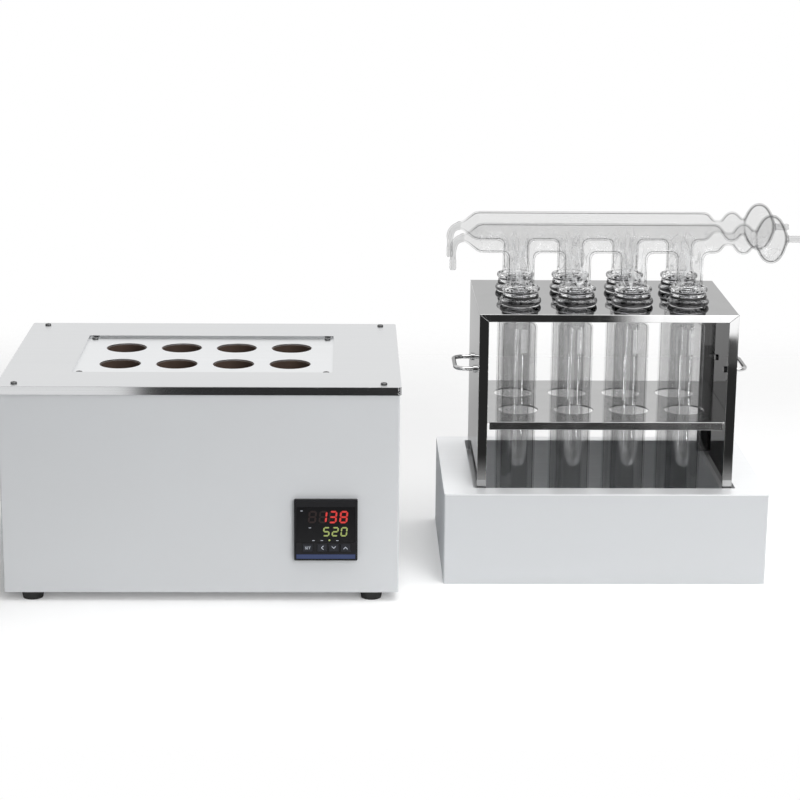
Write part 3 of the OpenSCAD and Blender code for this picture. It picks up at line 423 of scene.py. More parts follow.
def new_piece(name, mesh, finish, body, slot, *nodes):
    """Links a finished mesh as a piece that rides on a body and stands for the named nodes."""
    piece = bpy.data.objects.new(name, mesh)
    bpy.context.scene.collection.objects.link(piece)
    dress(piece, finish)
    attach(piece, body)
    if nodes:
        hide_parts(*nodes)
    return piece


def mesh_from(bm, name, smooth_angle=math.radians(40)):
    mesh = bpy.data.meshes.new(name)
    bm.to_mesh(mesh)
    bm.free()
    for face in mesh.polygons:
        face.use_smooth = True
    mesh.set_sharp_from_angle(angle=smooth_angle)
    return mesh


def settled(thing, name):
    """The mesh of an object with its modifiers worked in."""
    bpy.context.view_layer.update()
    evaluated = thing.evaluated_get(bpy.context.evaluated_depsgraph_get())
    mesh = bpy.data.meshes.new_from_object(evaluated)
    mesh.name = name
    return mesh


def softened(node, width, finish, body, slot):
    """A copy of a sheet part with its edges broken, so that they catch the light."""
    bm = bmesh.new()
    bm.from_mesh(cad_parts[node].data)
    bmesh.ops.remove_doubles(bm, verts=bm.verts, dist=2e-6)
    bmesh.ops.dissolve_limit(bm, angle_limit=math.radians(0.5), verts=bm.verts, edges=bm.edges)
    mesh = mesh_from(bm, node + "_edges")
    thing = bpy.data.objects.new(node + "_edges", mesh)
    bpy.context.scene.collection.objects.link(thing)
    bevel = thing.modifiers.new("broken_edge", "BEVEL")
    bevel.width = width
    bevel.segments = 2
    bevel.limit_method = "ANGLE"
    bevel.angle_limit = math.radians(35)
    bevel.harden_normals = True
    result = settled(thing, node + "_sheet")
    bpy.data.objects.remove(thing)
    return new_piece(node + "_sheet", result, finish, body, slot, node)


def arc(centre, radius, start, end, steps):
    """Points on a circle, from one angle in degrees to another."""
    angles = np.radians(np.linspace(start, end, steps + 1))
    return [(centre[0] + radius * math.cos(a), centre[1] + radius * math.sin(a)) for a in angles]


def turn_profile(bm, profile, matrix, turns=72, closed=False):
    """Turns (radius, height) points in millimetres about Z. Points on the axis become poles."""
    rings = []
    for radius, height in profile:
        if radius < 1e-6:
            rings.append([bm.verts.new(matrix @ Vector((0, 0, height * MM)))])
            continue
        ring = []
        for k in range(turns):
            angle = 2 * math.pi * k / turns
            point = Vector((radius * math.cos(angle), radius * math.sin(angle), height)) * MM
            ring.append(bm.verts.new(matrix @ point))
        rings.append(ring)
    pairs = list(zip(rings, rings[1:]))
    if closed:
        pairs.append((rings[-1], rings[0]))
    for low, high in pairs:
        for k in range(turns):
            n = (k + 1) % turns
            if len(low) == 1:
                bm.faces.new((low[0], high[n], high[k]))
            elif len(high) == 1:
                bm.faces.new((low[k], low[n], high[0]))
            else:
                bm.faces.new((low[k], low[n], high[n], high[k]))
    return rings


# Repeats on a grid, as a node tree

def grid_tree():
    """Places a template at every point of a flat grid."""
    tree = bpy.data.node_groups.new("repeat_on_grid", "GeometryNodeTree")
    inputs = {"Columns": "Int", "Rows": "Int", "Width": "Float", "Depth": "Float",
              "Template": "Object", "Finish": "Material"}
    for name, kind in inputs.items():
        tree.interface.new_socket(name, in_out="INPUT", socket_type="NodeSocket" + kind)
    tree.interface.new_socket("Result", in_out="OUTPUT", socket_type="NodeSocketGeometry")
    start = tree.nodes.new("NodeGroupInput")
    points = tree.nodes.new("GeometryNodeMeshGrid")
    info = tree.nodes.new("GeometryNodeObjectInfo")
    repeat = tree.nodes.new("GeometryNodeInstanceOnPoints")
    real = tree.nodes.new("GeometryNodeRealizeInstances")
    paint = tree.nodes.new("GeometryNodeSetMaterial")
    end = tree.nodes.new("NodeGroupOutput")
    link = tree.links.new
    link(start.outputs["Columns"], points.inputs["Vertices X"])
    link(start.outputs["Rows"], points.inputs["Vertices Y"])
    link(start.outputs["Width"], points.inputs["Size X"])
    link(start.outputs["Depth"], points.inputs["Size Y"])
    link(start.outputs["Template"], info.inputs["Object"])
    link(points.outputs["Mesh"], repeat.inputs["Points"])
    link(info.outputs["Geometry"], repeat.inputs["Instance"])
    link(repeat.outputs["Instances"], real.inputs["Geometry"])
    link(real.outputs["Geometry"], paint.inputs["Geometry"])
    link(start.outputs["Finish"], paint.inputs["Material"])
    link(paint.outputs["Geometry"], end.inputs["Result"])
    return tree


GRID = grid_tree()


def on_grid(name, template, finish, columns, rows, width, depth, at):
    """The mesh of a template repeated on a grid whose middle is at the given place."""
    pattern = bpy.data.objects.new(name + "_template", template)
    holder = bpy.data.objects.new(name + "_grid", bpy.data.meshes.new(name + "_grid"))
    for thing in (pattern, holder):
        bpy.context.scene.collection.objects.link(thing)
    modifier = holder.modifiers.new("repeat", "NODES")
    modifier.node_group = GRID
    values = {"Columns": columns, "Rows": rows, "Width": width, "Depth": depth,
              "Template": pattern, "Finish": FINISH[finish]}
    for item in GRID.interface.items_tree:
        if item.in_out == "INPUT":
            modifier[item.identifier] = values[item.name]
    mesh = settled(holder, name)
    mesh.transform(Matrix.Translation(at))
    bpy.data.objects.remove(holder)
    bpy.data.objects.remove(pattern)
    return mesh


# Screws with a cross recess

def screw_mesh(head, height, shank, length):
    """A pan head with a cross cut into it, seat at z = 0, in millimetres."""
    bm = bmesh.new()
    edge = height * 0.55
    profile = [(0, -length), (shank / 2 * 0.8, -length), (shank / 2, -length + 0.4)]
    profile += [(shank / 2, 0), (head / 2, 0)]
    profile += arc((head / 2 - edge, height - edge), edge, 0, 80, 6)
    profile += [(head * 0.2, height), (0, height)]
    turn_profile(bm, profile, Matrix.Identity(4), 32)
    bmesh.ops.recalc_face_normals(bm, faces=bm.faces)
    mesh = mesh_from(bm, "screw_blank")
    blank = bpy.data.objects.new("screw_blank", mesh)
    cross = bmesh.new()
    for width, depth in ((head * 0.55, head * 0.13), (head * 0.13, head * 0.55)):
        size = Matrix.Diagonal((width * MM, depth * MM, height * MM, 1))
        bmesh.ops.create_cube(cross, size=1, matrix=Matrix.Translation((0, 0, height * MM)) @ size)
    tool = bpy.data.objects.new("screw_cross", mesh_from(cross, "screw_cross"))
    for thing in (blank, tool):
        bpy.context.scene.collection.objects.link(thing)
    cut = blank.modifiers.new("cross", "BOOLEAN")
    cut.object = tool
    cut.operation = "DIFFERENCE"
    cut.solver = "EXACT"
    cut.use_self = True
    result = settled(blank, "screw")
    bpy.data.objects.remove(blank)
    bpy.data.objects.remove(tool)
    return result


SCREW_HEAD, SCREW_RISE, SCREW_SHANK = 7.5, 2.0, 4.0


def add_screws():
    for node in ("cover_screws", "plate_screws"):
        low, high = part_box(node)
        size = high - low
        length = (high.z - low.z) / MM - SCREW_RISE
        template = screw_mesh(SCREW_HEAD, SCREW_RISE, SCREW_SHANK, length)
        at = Vector(((low.x + high.x) / 2, (low.y + high.y) / 2, high.z - SCREW_RISE * MM))
        wide, deep = size.x - SCREW_HEAD * MM, size.y - SCREW_HEAD * MM
        mesh = on_grid(node + "_cross", template, "dark_screw", 2, 2, wide, deep, at)
        new_piece(node + "_cross", mesh, "dark_screw", "furnace", "dark_screw", node)


# Digestion tubes

TUBE_TOP = 9.0
TUBE_LENGTH = 300.0
TUBE_R = 21.0
TUBE_BORE = 19.0
SHOULDER = (14, -28)


def tube_profile():
    """Half section of a tube from its outer pole over the rim to its inner pole, z = 0 on the rack."""
    base = TUBE_TOP - TUBE_LENGTH
    outside = [(0, base)] + arc((0, base + TUBE_R), TUBE_R, -86, 0, 14) + [(TUBE_R, -60)]
    outside += arc(SHOULDER, 7, 0, 70, 9) + [(15.7, -20.6), (15.5, -18.5), (15.5, -0.8)]
    rim = [(15.9, 0), (20, 0)] + arc((20, 4.5), 4.5, -82, 82, 12) + [(20, 9), (15.1, 9)]
    rim += arc((15.1, 7.4), 1.6, 90, 180, 4)
    inside = [(13.5, -19.5), (13.7, -22)] + arc(SHOULDER, 5, 72, 0, 7)
    inside += [(TUBE_BORE, -60), (TUBE_BORE, base + TUBE_R)]
    inside += arc((0, base + TUBE_R), TUBE_BORE, 0, -86, 14)[1:] + [(0, base + 2)]
    return outside + rim + inside


def zone(piece, finish, inside):
    """Gives another finish to the faces that a test picks by their middle and direction."""
    piece.data.materials.append(FINISH[finish])
    index = len(piece.data.materials) - 1
    for face in piece.data.polygons:
        if inside(face.center, face.normal):
            face.material_index = index


def add_tubes():
    for i, place in enumerate(TUBES, 1):
        bm = bmesh.new()
        turn_profile(bm, tube_profile(), Matrix.Translation((place.x, place.y, RACK_TOP)), 72)
        bmesh.ops.recalc_face_normals(bm, faces=bm.faces)
        name = f"glass_tube_{i}"
        mesh = mesh_from(bm, name, math.radians(80))
        tube = new_piece(name, mesh, "tube_skin", "tube_rack", "clear_glass", f"digestion_tube_{i}")
        round_end = RACK_TOP + (TUBE_TOP - TUBE_LENGTH + TUBE_R) * MM

        def faces_in(at, normal):
            axis = Vector((place.x, place.y, max(at.z, round_end)))
            return normal.dot(at - axis) < 0

        zone(tube, "tube_bore", faces_in)
        zone(tube, "bead_glass", lambda at, normal: at.z > RACK_TOP - 0.5 * MM)


# Gaskets and O-rings

def ring_template(name, profile):
    bm = bmesh.new()
    turn_profile(bm, profile, Matrix.Identity(4), 64, closed=True)
    bmesh.ops.recalc_face_normals(bm, faces=bm.faces)
    return mesh_from(bm, name)


def add_seals():
    """Flat gaskets on the tube rims and an O-ring in each leg's groove, repeated along a row."""
    lip = 0.5
    gasket = [(13.7, 0.1), (21.2, 0.1)] + arc((21.4 - lip, 0.1 + lip), lip, -60, 0, 3)
    gasket += arc((21.4 - lip, 2.1 - lip), lip, 0, 60, 3) + [(21.2, 2.1), (13.7, 2.1)]
    oring = arc((17.95, 6.7), 0.9, 0, 345, 23)
    for row, y in ROWS.items():
        at = Vector((RACK.x, y, RACK_TOP + TUBE_TOP * MM))
        parts = []
        for name, profile in (("gasket", gasket), ("o_ring", oring)):
            template = ring_template(f"{row}_{name}", profile)
            parts.append(on_grid(f"{row}_{name}s", template, "rubber", 4, 1, 3 * LEG_STEP, 0, at))
        bm = bmesh.new()
        for part in parts:
            bm.from_mesh(part)
        mesh = mesh_from(bm, f"{row}_rubber_rings")
        new_piece(f"{row}_rubber_rings", mesh, "rubber", f"{row}_head", "rubber", f"{row}_seals")


# Blown glass manifold, as a distance field in millimetres about the main tube's axis

WALL = 1.8
AXIS_RISE = 78.5
GASKET = 2.2
LEG_R = 16.0
LEG_CUT = -50.0
RIGHT_CUT = 215.0
RIGHT_TIP = 229.5
LEFT_CUT = -19.0
LEFT_TIP = AXIS_RISE - 40.5
LEFT_STEM = -179.0
STEM_R = 3.2
STEM_BORE = 1.8
GRID_STEP = 1.7
FIELD_LOW = (-188.0, -32.0, LEG_CUT - 3.1)
FIELD_HIGH = (RIGHT_CUT + 3, 32.0, 32.0)

RUN = [
    (-169, 4.2), (-166, 4.5), (-163.4, 6.1), (-160, 8.7), (-156.5, 11.6), (-153, 14.3), (-150, 16.2),
    (-146.5, 17.2), (-142, 17.5), (-100, 17.5),
    (-40, 17.5), (40, 17.5), (100, 17.5), (124, 17.5), (129, 17.0), (133, 15.2), (136, 12.0), (138.6, 9.2),
    (141.6, 7.9), (145.4, 7.9), (148.4, 9.2), (150.6, 12.0), (153.4, 15.2), (157, 17.5), (161, 18.2),
    (165, 17.4), (168.6, 15.0), (171.2, 12.2), (173.6, 10.6), (175.4, 11.0), (177.2, 14.2), (180, 19.2),
    (184, 24.4), (188.6, 27.6), (193.5, 28.5), (198.4, 27.6), (203, 24.4), (207, 19.0), (209.8, 13.4),
    (211.4, 9.0), (212.8, 5.6), (215, 3.8), (220, 3.2)]
ELBOW = [
    (-158, 0.2, 4.8), (-163, 0.5, 4.4), (-168, 0.1, 4.3), (-172, -1.5, 4.3), (-175.5, -4.2, 4.25),
    (-178, -8.2, 4.2), (-179, -13, 4.1), (-179, -17.4, 3.4), (-179, -24, 3.2)]


def through(points, steps):
    """A smooth line through points, with steps points in each span."""
    p = np.array(points, float)
    p = np.vstack([2 * p[0] - p[1], p, 2 * p[-1] - p[-2]])
    t = np.linspace(0, 1, steps, endpoint=False)[:, None]
    spans = []
    for a, b, c, d in zip(p, p[1:], p[2:], p[3:]):
        spans.append(0.5 * (2 * b + (c - a) * t + (2 * a - 5 * b + 4 * c - d) * t ** 2
                            + (3 * b - a - 3 * c + d) * t ** 3))
    return np.vstack(spans + [p[-2:-1]])


RUN_LINE = through(RUN, 5)


def soft_min(a, b, reach):
    h = np.maximum(reach - np.abs(a - b), 0) / reach
    return np.minimum(a, b) - h * h * reach / 4


def run_distance(x, r):
    """Distance to the turned part: nearest point on its half section, negative inside."""
    best = np.full(x.shape, 1e9)
    for (ax, ar), (bx, br) in zip(RUN_LINE, RUN_LINE[1:]):
        dx, dr = bx - ax, br - ar
        t = np.clip(((x - ax) * dx + (r - ar) * dr) / (dx * dx + dr * dr), 0, 1)
        best = np.minimum(best, (x - ax - t * dx) ** 2 + (r - ar - t * dr) ** 2)
    edge = np.interp(x, RUN_LINE[:, 0], RUN_LINE[:, 1], left=0, right=STEM_R)
    return np.where(r < edge, -1, 1) * np.sqrt(best)


def elbow_distance(x, y, z):
    best = np.full(x.shape, 1e9)
    line = through(ELBOW, 3)
    for (ax, az, ar), (bx, bz, br) in zip(line, line[1:]):
        dx, dz = bx - ax, bz - az
        t = np.clip(((x - ax) * dx + (z - az) * dz) / (dx * dx + dz * dz), 0, 1)
        far = np.sqrt((x - ax - t * dx) ** 2 + y * y + (z - az - t * dz) ** 2)
        best = np.minimum(best, far - ar - t * (br - ar))
    return best


def glass_distance(p):
    x, y, z = p[:, 0], p[:, 1], p[:, 2]
    d = soft_min(run_distance(x, np.hypot(y, z)), elbow_distance(x, y, z), 3.0)
    step = LEG_STEP / MM
    near = np.clip(np.round(x / step - 0.5), -2, 1) * step + step / 2
    leg = np.maximum(np.hypot(x - near, y) - LEG_R, z)
    return soft_min(d, leg, 9.0)


def skin(field, low, step, level):
    """Quads on the surface where a sampled field passes a level, one point in each cell that it crosses."""
    v = field - level
    inside = v < 0
    shape = np.array(v.shape) - 1
    corners = [np.array(c) for c in np.ndindex(2, 2, 2)]

    def part(a, c):
        return a[c[0]:c[0] + shape[0], c[1]:c[1] + shape[1], c[2]:c[2] + shape[2]]

    count = np.zeros(shape)
    total = np.zeros((*shape, 3))
    for c in corners:
        for axis in range(3):
            if c[axis]:
                continue
            n = c.copy()
            n[axis] = 1
            a, b = part(v, c), part(v, n)
            crossed = part(inside, c) != part(inside, n)
            t = np.where(crossed, a / np.where(crossed, a - b, 1), 0)
            count += crossed
            for k in range(3):
                total[..., k] += crossed * (c[k] + (t if k == axis else 0))
    active = count > 0
    index = np.full(shape, -1)
    index[active] = np.arange(active.sum())
    cells = np.argwhere(active)
    points = low + step * (cells + total[active] / count[active][:, None])
    quads = []
    for axis in range(3):
        u, w = (axis + 1) % 3, (axis + 2) % 3
        first = np.take(inside, range(shape[axis]), axis)
        second = np.take(inside, range(1, shape[axis] + 1), axis)
        for flip, hits in ((False, first & ~second), (True, ~first & second)):
            at = np.argwhere(hits)
            at = at[(at[:, u] > 0) & (at[:, w] > 0) & (at[:, u] < shape[u]) & (at[:, w] < shape[w])]
            around = []
            for du, dw in ((1, 1), (0, 1), (0, 0), (1, 0)):
                cell = at.copy()
                cell[:, u] -= du
                cell[:, w] -= dw
                around.append(index[tuple(cell.T)])
            ring = np.array(around).T
            quads.append(ring[:, ::-1] if flip else ring)
    quads = np.vstack(quads)
    return points, quads[(quads >= 0).all(axis=1)]


def settle_on(points, level):
    """Moves points onto the exact surface along the field's slope."""
    small = 0.02
    for _ in range(4):
        d = glass_distance(points) - level
        slope = np.stack([
            (glass_distance(points + small * e) - glass_distance(points - small * e)) / (2 * small)
            for e in np.eye(3)], axis=1)
        size = np.maximum((slope ** 2).sum(axis=1, keepdims=True), 0.05)
        points = points - np.clip(d[:, None], -1, 1) * slope / size
    return points


def stem_profile(root, tip, from_r):
    """Ribbed hose stem between two stations, outside from root to tip and inside back to the root."""
    pitch = 3.8
    outside = [(from_r, root)]
    for n in (2, 1, 0):
        crest = tip - 0.6 - n * pitch
        outside += [(STEM_R, crest - 3.5), (3.9, crest - 3.3), (4.0, crest - 2.6), (3.98, crest - 2.1)]
        outside += [(STEM_R + 0.05, crest - 0.1)]
    lip = [(STEM_R, tip - 0.3), (STEM_R - 0.3, tip), (STEM_BORE + 0.3, tip), (STEM_BORE, tip - 0.3)]
    return outside + lip + [(STEM_BORE, root + 2), (from_r - WALL, root)]


def leg_profile():
    """Foot of a leg: spigot, two flanges with a groove and a short piece of leg, z = 0 on the gasket.

    It runs from the inside to the outside, so that its faces turn outwards.
    """
    bore = 10.7
    top = AXIS_RISE + LEG_CUT - TUBE_TOP - GASKET
    outside = [(LEG_R, top), (LEG_R, 12.5), (16.3, 11.2), (17.4, 10.5), (20.6, 10.3)]
    outside += arc((20.9, 8.7), 1.6, 85, 0, 5) + arc((20.9, 7.1), 1.6, 0, -80, 5) + [(19, 5.5), (17.0, 5.5)]
    outside += [(17.0, 3.5), (19.2, 3.5)] + arc((19.8, 2.3), 1.2, 85, 0, 4) + arc((19.8, 1.2), 1.2, 0, -85, 4)
    outside += [(19.2, 0), (12.9, 0), (12.5, -0.5), (12.5, -10.6), (12.1, -11.2)]
    inside = [(11.2, -11.2), (bore, -10.6), (bore, 9.6), (11.2, 11.2), (12.4, 13.4), (13.6, 15.4)]
    inside.append((LEG_R - WALL, top))
    return (outside + inside)[::-1]


def ring_edges(ring):
    found = []
    for a, b in zip(ring, ring[1:] + ring[:1]):
        for edge in a.link_edges:
            if b in edge.verts:
                found.append(edge)
    return found


def join_loops(bm, cut_edges, ring):
    """Closes the gap from a cut loop to the end ring of a turned piece, wound like the faces beside it."""
    rims = list(cut_edges) + ring_edges(ring)
    made = set(bmesh.ops.bridge_loops(bm, edges=rims)["faces"])
    for face in made:
        against = [
            other.vert == loop.vert
            for loop in face.loops for other in loop.edge.link_loops if other.face not in made]
        if any(against):
            face.normal_flip()


def loops_of(edges):
    """Groups edges that touch into loops."""
    left = dict.fromkeys(edges)
    loops = []
    while left:
        stack = [left.popitem()[0]]
        loop = []
        while stack:
            edge = stack.pop()
            loop.append(edge)
            for vert in edge.verts:
                for other in vert.link_edges:
                    if other in left:
                        del left[other]
                        stack.append(other)
        loops.append(loop)
    return loops


def reach(loop):
    """Greatest distance of a loop's points from their middle."""
    points = [v.co for e in loop for v in e.verts]
    centre = sum(points, Vector()) / len(points)
    return max((p - centre).length for p in points)


def add_end(bm, profile, matrix, turns, loops):
    """Turns an end of the glass and joins its first and last ring to two cut loops."""
    rings = turn_profile(bm, profile, matrix @ Matrix.Scale(1 / MM, 4), turns)
    for loop, ring in zip(loops, (rings[0], rings[-1])):
        join_loops(bm, loop, ring)


def blown_skins():
    """Outer and inner skin of the blown glass, still closed at the ends."""
    axes = [np.arange(a, b + GRID_STEP, GRID_STEP) for a, b in zip(FIELD_LOW, FIELD_HIGH)]
    points = np.stack(np.meshgrid(*axes, indexing="ij"), axis=-1)
    field = glass_distance(points.reshape(-1, 3)).reshape(points.shape[:3])
    bm = bmesh.new()
    for level, flip in ((0.0, False), (-WALL, True)):
        found, quads = skin(field, np.array(FIELD_LOW), GRID_STEP, level)
        found = settle_on(found, level)
        verts = [bm.verts.new(p) for p in found]
        for quad in quads:
            corners = [verts[k] for k in (quad[::-1] if flip else quad)]
            if len(set(corners)) == 4:
                bm.faces.new(corners)
    return bm


def cut_open(bm):
    """Cuts the skins where the turned ends begin, and gives the loops of cut edges at each end."""
    near = 6
    cuts = {
        "legs": ((0, 0, LEG_CUT), (0, 0, -1), lambda c: c.z < LEG_CUT + near and c.x > -130),
        "right": ((RIGHT_CUT, 0, 0), (1, 0, 0), lambda c: c.x > RIGHT_CUT - near),
        "left": ((0, 0, LEFT_CUT), (0, 0, -1), lambda c: c.x < -170 and c.z < -10)}
    loops = {}
    for name, (at, normal, here) in cuts.items():
        faces = [f for f in bm.faces if here(f.calc_center_median())]
        part = dict.fromkeys(faces)
        for f in faces:
            part.update(dict.fromkeys(f.edges))
            part.update(dict.fromkeys(f.verts))
        cut = bmesh.ops.bisect_plane(
            bm, geom=list(part), plane_co=at, plane_no=normal, clear_outer=True)
        loops[name] = loops_of(e for e in cut["geom_cut"] if isinstance(e, bmesh.types.BMEdge))
    loose = [v for v in bm.verts if not v.link_faces]
    bmesh.ops.delete(bm, geom=loose, context="VERTS")
    return loops


def smooth_skins(mesh):
    """Takes the normals of the skins from the field, and marks the faces of the inner skin."""
    on_skin = 0.03
    places = np.array([v.co for v in mesh.vertices])
    away = glass_distance(places)
    nudges = 0.05 * np.eye(3)
    slope = np.stack([glass_distance(places + e) - glass_distance(places - e) for e in nudges], 1)
    slope /= np.maximum(np.linalg.norm(slope, axis=1, keepdims=True), 1e-6)
    side = np.where(np.abs(away) < on_skin, 1.0, np.where(np.abs(away + WALL) < on_skin, -1.0, 0.0))
    blown = (places[:, 2] > LEG_CUT + 0.5) & (places[:, 0] < RIGHT_CUT - 0.5)
    blown &= (places[:, 0] > -172) | (places[:, 2] > LEFT_CUT + 0.5)
    mesh.normals_split_custom_set_from_vertices((slope * (side * blown)[:, None]).tolist())
    bore = mesh.attributes.new("bore", "BOOLEAN", "FACE")
    bore.data.foreach_set("value", [all(side[k] < 0 for k in f.vertices) for f in mesh.polygons])


def manifold_mesh():
    """Blown skins with turned feet and hose stems joined on, about the middle of the main tube."""
    bm = blown_skins()
    loops = cut_open(bm)
    step = LEG_STEP / MM
    for k in range(4):
        x = (k - 1.5) * step
        mine = [loop for loop in loops["legs"] if abs(loop[0].verts[0].co.x - x) < step / 2]
        feet = Matrix.Translation((x, 0, TUBE_TOP + GASKET - AXIS_RISE))
        add_end(bm, leg_profile(), feet, 64, sorted(mine, key=reach))
    right = Matrix.Rotation(math.radians(90), 4, "Y")
    down = Matrix.Translation((LEFT_STEM, 0, 0)) @ Matrix.Rotation(math.pi, 4, "X")
    right_stem = stem_profile(RIGHT_CUT + 0.6, RIGHT_TIP, 3.7)
    left_stem = stem_profile(0.6 - LEFT_CUT, LEFT_TIP, 3.3)
    add_end(bm, right_stem, right, 40, sorted(loops["right"], key=reach, reverse=True))
    add_end(bm, left_stem, down, 40, sorted(loops["left"], key=reach, reverse=True))
    mesh = mesh_from(bm, "blown_glass", math.radians(70))
    smooth_skins(mesh)
    mesh.transform(Matrix.Scale(MM, 4))
    return mesh


STEM_ROOTS = (-0.166, 0.2118)
FLANGE_TOP = RACK_TOP + 0.0215


def add_manifolds():
    glass = manifold_mesh()
    for row, y in ROWS.items():
        mesh = glass.copy()
        mesh.transform(Matrix.Translation((RACK.x, y, RACK_TOP + AXIS_RISE * MM)))
        name, body = f"{row}_blown_head", f"{row}_head"
        head = new_piece(name, mesh, "head_skin", body, "clear_glass", f"{row}_manifold")
        inner = head.data.attributes["bore"].data
        bore_faces = {tuple(f.center) for f, mark in zip(head.data.polygons, inner) if mark.value}
        zone(head, "head_bore", lambda at, normal: tuple(at) in bore_faces)
        zone(head, "stem_glass", lambda at, normal: not STEM_ROOTS[0] < at.x - RACK.x < STEM_ROOTS[1])
        zone(head, "bead_glass", lambda at, normal: at.z < FLANGE_TOP)
    bpy.data.meshes.remove(glass)


# Controller face

SEAT = -0.02
RED_ROW = {"middle_v": 16.3, "width": 7.2, "height": 12.6, "bar": 2.1}
GREEN_ROW = {"middle_v": -1.1, "width": 6.0, "height": 9.6, "bar": 1.6}
SEGMENTS = {"0": "abcdef", "1": "bc", "2": "abged", "3": "abgcd", "5": "afgcd", "8": "abcdefg"}


def on_face(u, v, out=0.0):
    """A point on the controller's face, u to the right and v up from its middle, in millimetres."""
    return Vector((BEZEL.x + u * MM, BEZEL_FACE - out * MM, BEZEL.z + v * MM))


def plate(bm, outline, out, thick):
    """A thin plate with the given outline on the controller's face."""
    front = [bm.verts.new(on_face(u, v, out + thick)) for u, v in outline]
    back = [bm.verts.new(on_face(u, v, out)) for u, v in outline]
    bm.faces.new(front)
    bm.faces.new(back[::-1])
    for k in range(len(outline)):
        n = (k + 1) % len(outline)
        bm.faces.new((front[k], back[k], back[n], front[n]))


def segment_outline(letter, width, height, bar):
    """Six-cornered bar of a seven-segment digit, about the digit's middle."""
    w, h, g = width / 2, height / 2, bar * 0.12
    ends = {
        "a": ((-w, h), (w, h)), "g": ((-w, 0), (w, 0)), "d": ((-w, -h), (w, -h)),
        "f": ((-w, h), (-w, 0)), "b": ((w, h), (w, 0)), "e": ((-w, 0), (-w, -h)), "c": ((w, 0), (w, -h))}
    (ax, ay), (bx, by) = ends[letter]
    length = math.hypot(bx - ax, by - ay)
    dx, dy = (bx - ax) / length, (by - ay) / length
    half = bar / 2
    line = [(g, 0), (g + half, half), (length - g - half, half), (length - g, 0),
            (length - g - half, -half), (g + half, -half)]
    return [(ax + s * dx - t * dy, ay + s * dy + t * dx) for s, t in line]


def digit(bm, letters, middle_u, middle_v, width, height, bar, slant=0.1):
    for letter in letters:
        outline = segment_outline(letter, width, height, bar)
        plate(bm, [(middle_u + u + slant * v, middle_v + v) for u, v in outline], SEAT, 0.1)


def rectangle(u, v, width, height):
    """Corners of a rectangle about a point of the face."""
    w, h = width / 2, height / 2
    return [(u - w, v - h), (u + w, v - h), (u + w, v + h), (u - w, v + h)]


def face_piece(name, build, finish, slot):
    bm = bmesh.new()
    build(bm)
    bmesh.ops.recalc_face_normals(bm, faces=bm.faces)
    new_piece(name, mesh_from(bm, name), finish, "furnace", slot)


def chevron(u, v, size, turn):
    """A pointed stroke, turned in degrees from pointing up."""
    stroke = size * 0.32
    points = [(-size, -size * 0.5), (0, size * 0.5), (size, -size * 0.5), (size, -size * 0.5 - stroke * 1.3),
              (0, size * 0.5 - stroke * 1.3), (-size, -size * 0.5 - stroke * 1.3)]
    a = math.radians(turn)
    return [(u + x * math.cos(a) - y * math.sin(a), v + x * math.sin(a) + y * math.cos(a)) for x, y in points]


def add_controller_face():
    red = [("1", -3.2), ("3", 8.0), ("8", 20.2)]
    green = [("5", 0.6), ("2", 10.6), ("0", 20.6)]
    keys = {name: middle(f"key_{name}") for name in ("set", "shift", "down", "up")}
    key_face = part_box("key_set")[0].y

    def lit_red(bm):
        for value, u in red:
            digit(bm, SEGMENTS[value], u, **RED_ROW)

    def dim_red(bm):
        for letters, u in (SEGMENTS["8"], -15.2), ("adefg", -3.2), ("ef", 8.0):
            digit(bm, letters, u, **RED_ROW)

    def lit_green(bm):
        for value, u in green:
            digit(bm, SEGMENTS[value], u, **GREEN_ROW)

    def dots(bm):
        plate(bm, arc((4, -11.2), 1.1, 0, 360, 23)[:-1], SEAT, 0.12)

    def strip(bm):
        plate(bm, rectangle(0, -30.7, 66.8, 5), SEAT, 0.14)

    def marks(bm):
        for u, v in ((-27.4, 23.5), (-18, 3.5), (-14, -11.6), (-4.5, -11.6), (13, -11.6)):
            plate(bm, rectangle(u, v, 2.6, 0.7), SEAT, 0.06)

    face_piece("red_digits", lit_red, "red", "display_glass")
    face_piece("unlit_digits", dim_red, "unlit", "display_glass")
    face_piece("green_digits", lit_green, "green", "display_glass")
    face_piece("lit_dot", dots, "green", "display_glass")
    face_piece("lower_strip", strip, "blue", "black_plastic")
    face_piece("window_marks", marks, "ink", "display_glass")
    turns = {"shift": 90, "down": 180, "up": 0}
    proud = (BEZEL_FACE - key_face) / MM
    for name, turn in turns.items():
        bm = bmesh.new()
        u = (keys[name].x - BEZEL.x) / MM
        v = (keys[name].z - BEZEL.z) / MM
        plate(bm, chevron(u, v + 0.4, 2.3, turn), proud + SEAT, 0.07)
        bmesh.ops.recalc_face_normals(bm, faces=bm.faces)
        new_piece(f"{name}_arrow", mesh_from(bm, f"{name}_arrow"), "ink", f"key_{name}", "key_plastic")
    letters = bpy.data.curves.new("set_word", "FONT")
    letters.body = "SET"
    letters.size = 4.2 * MM
    letters.align_x = "CENTER"
    letters.align_y = "CENTER"
    letters.extrude = 0.035 * MM
    thing = bpy.data.objects.new("set_word", letters)
    bpy.context.scene.collection.objects.link(thing)
    mesh = settled(thing, "set_word")
    bpy.data.objects.remove(thing)
    spot = Vector((keys["set"].x, key_face + SEAT * MM, keys["set"].z))
    mesh.transform(Matrix.Translation(spot) @ Matrix.Rotation(math.radians(90), 4, "X"))
    new_piece("set_word", mesh, "ink", "key_set", "key_plastic")


# Sheet parts with broken edges

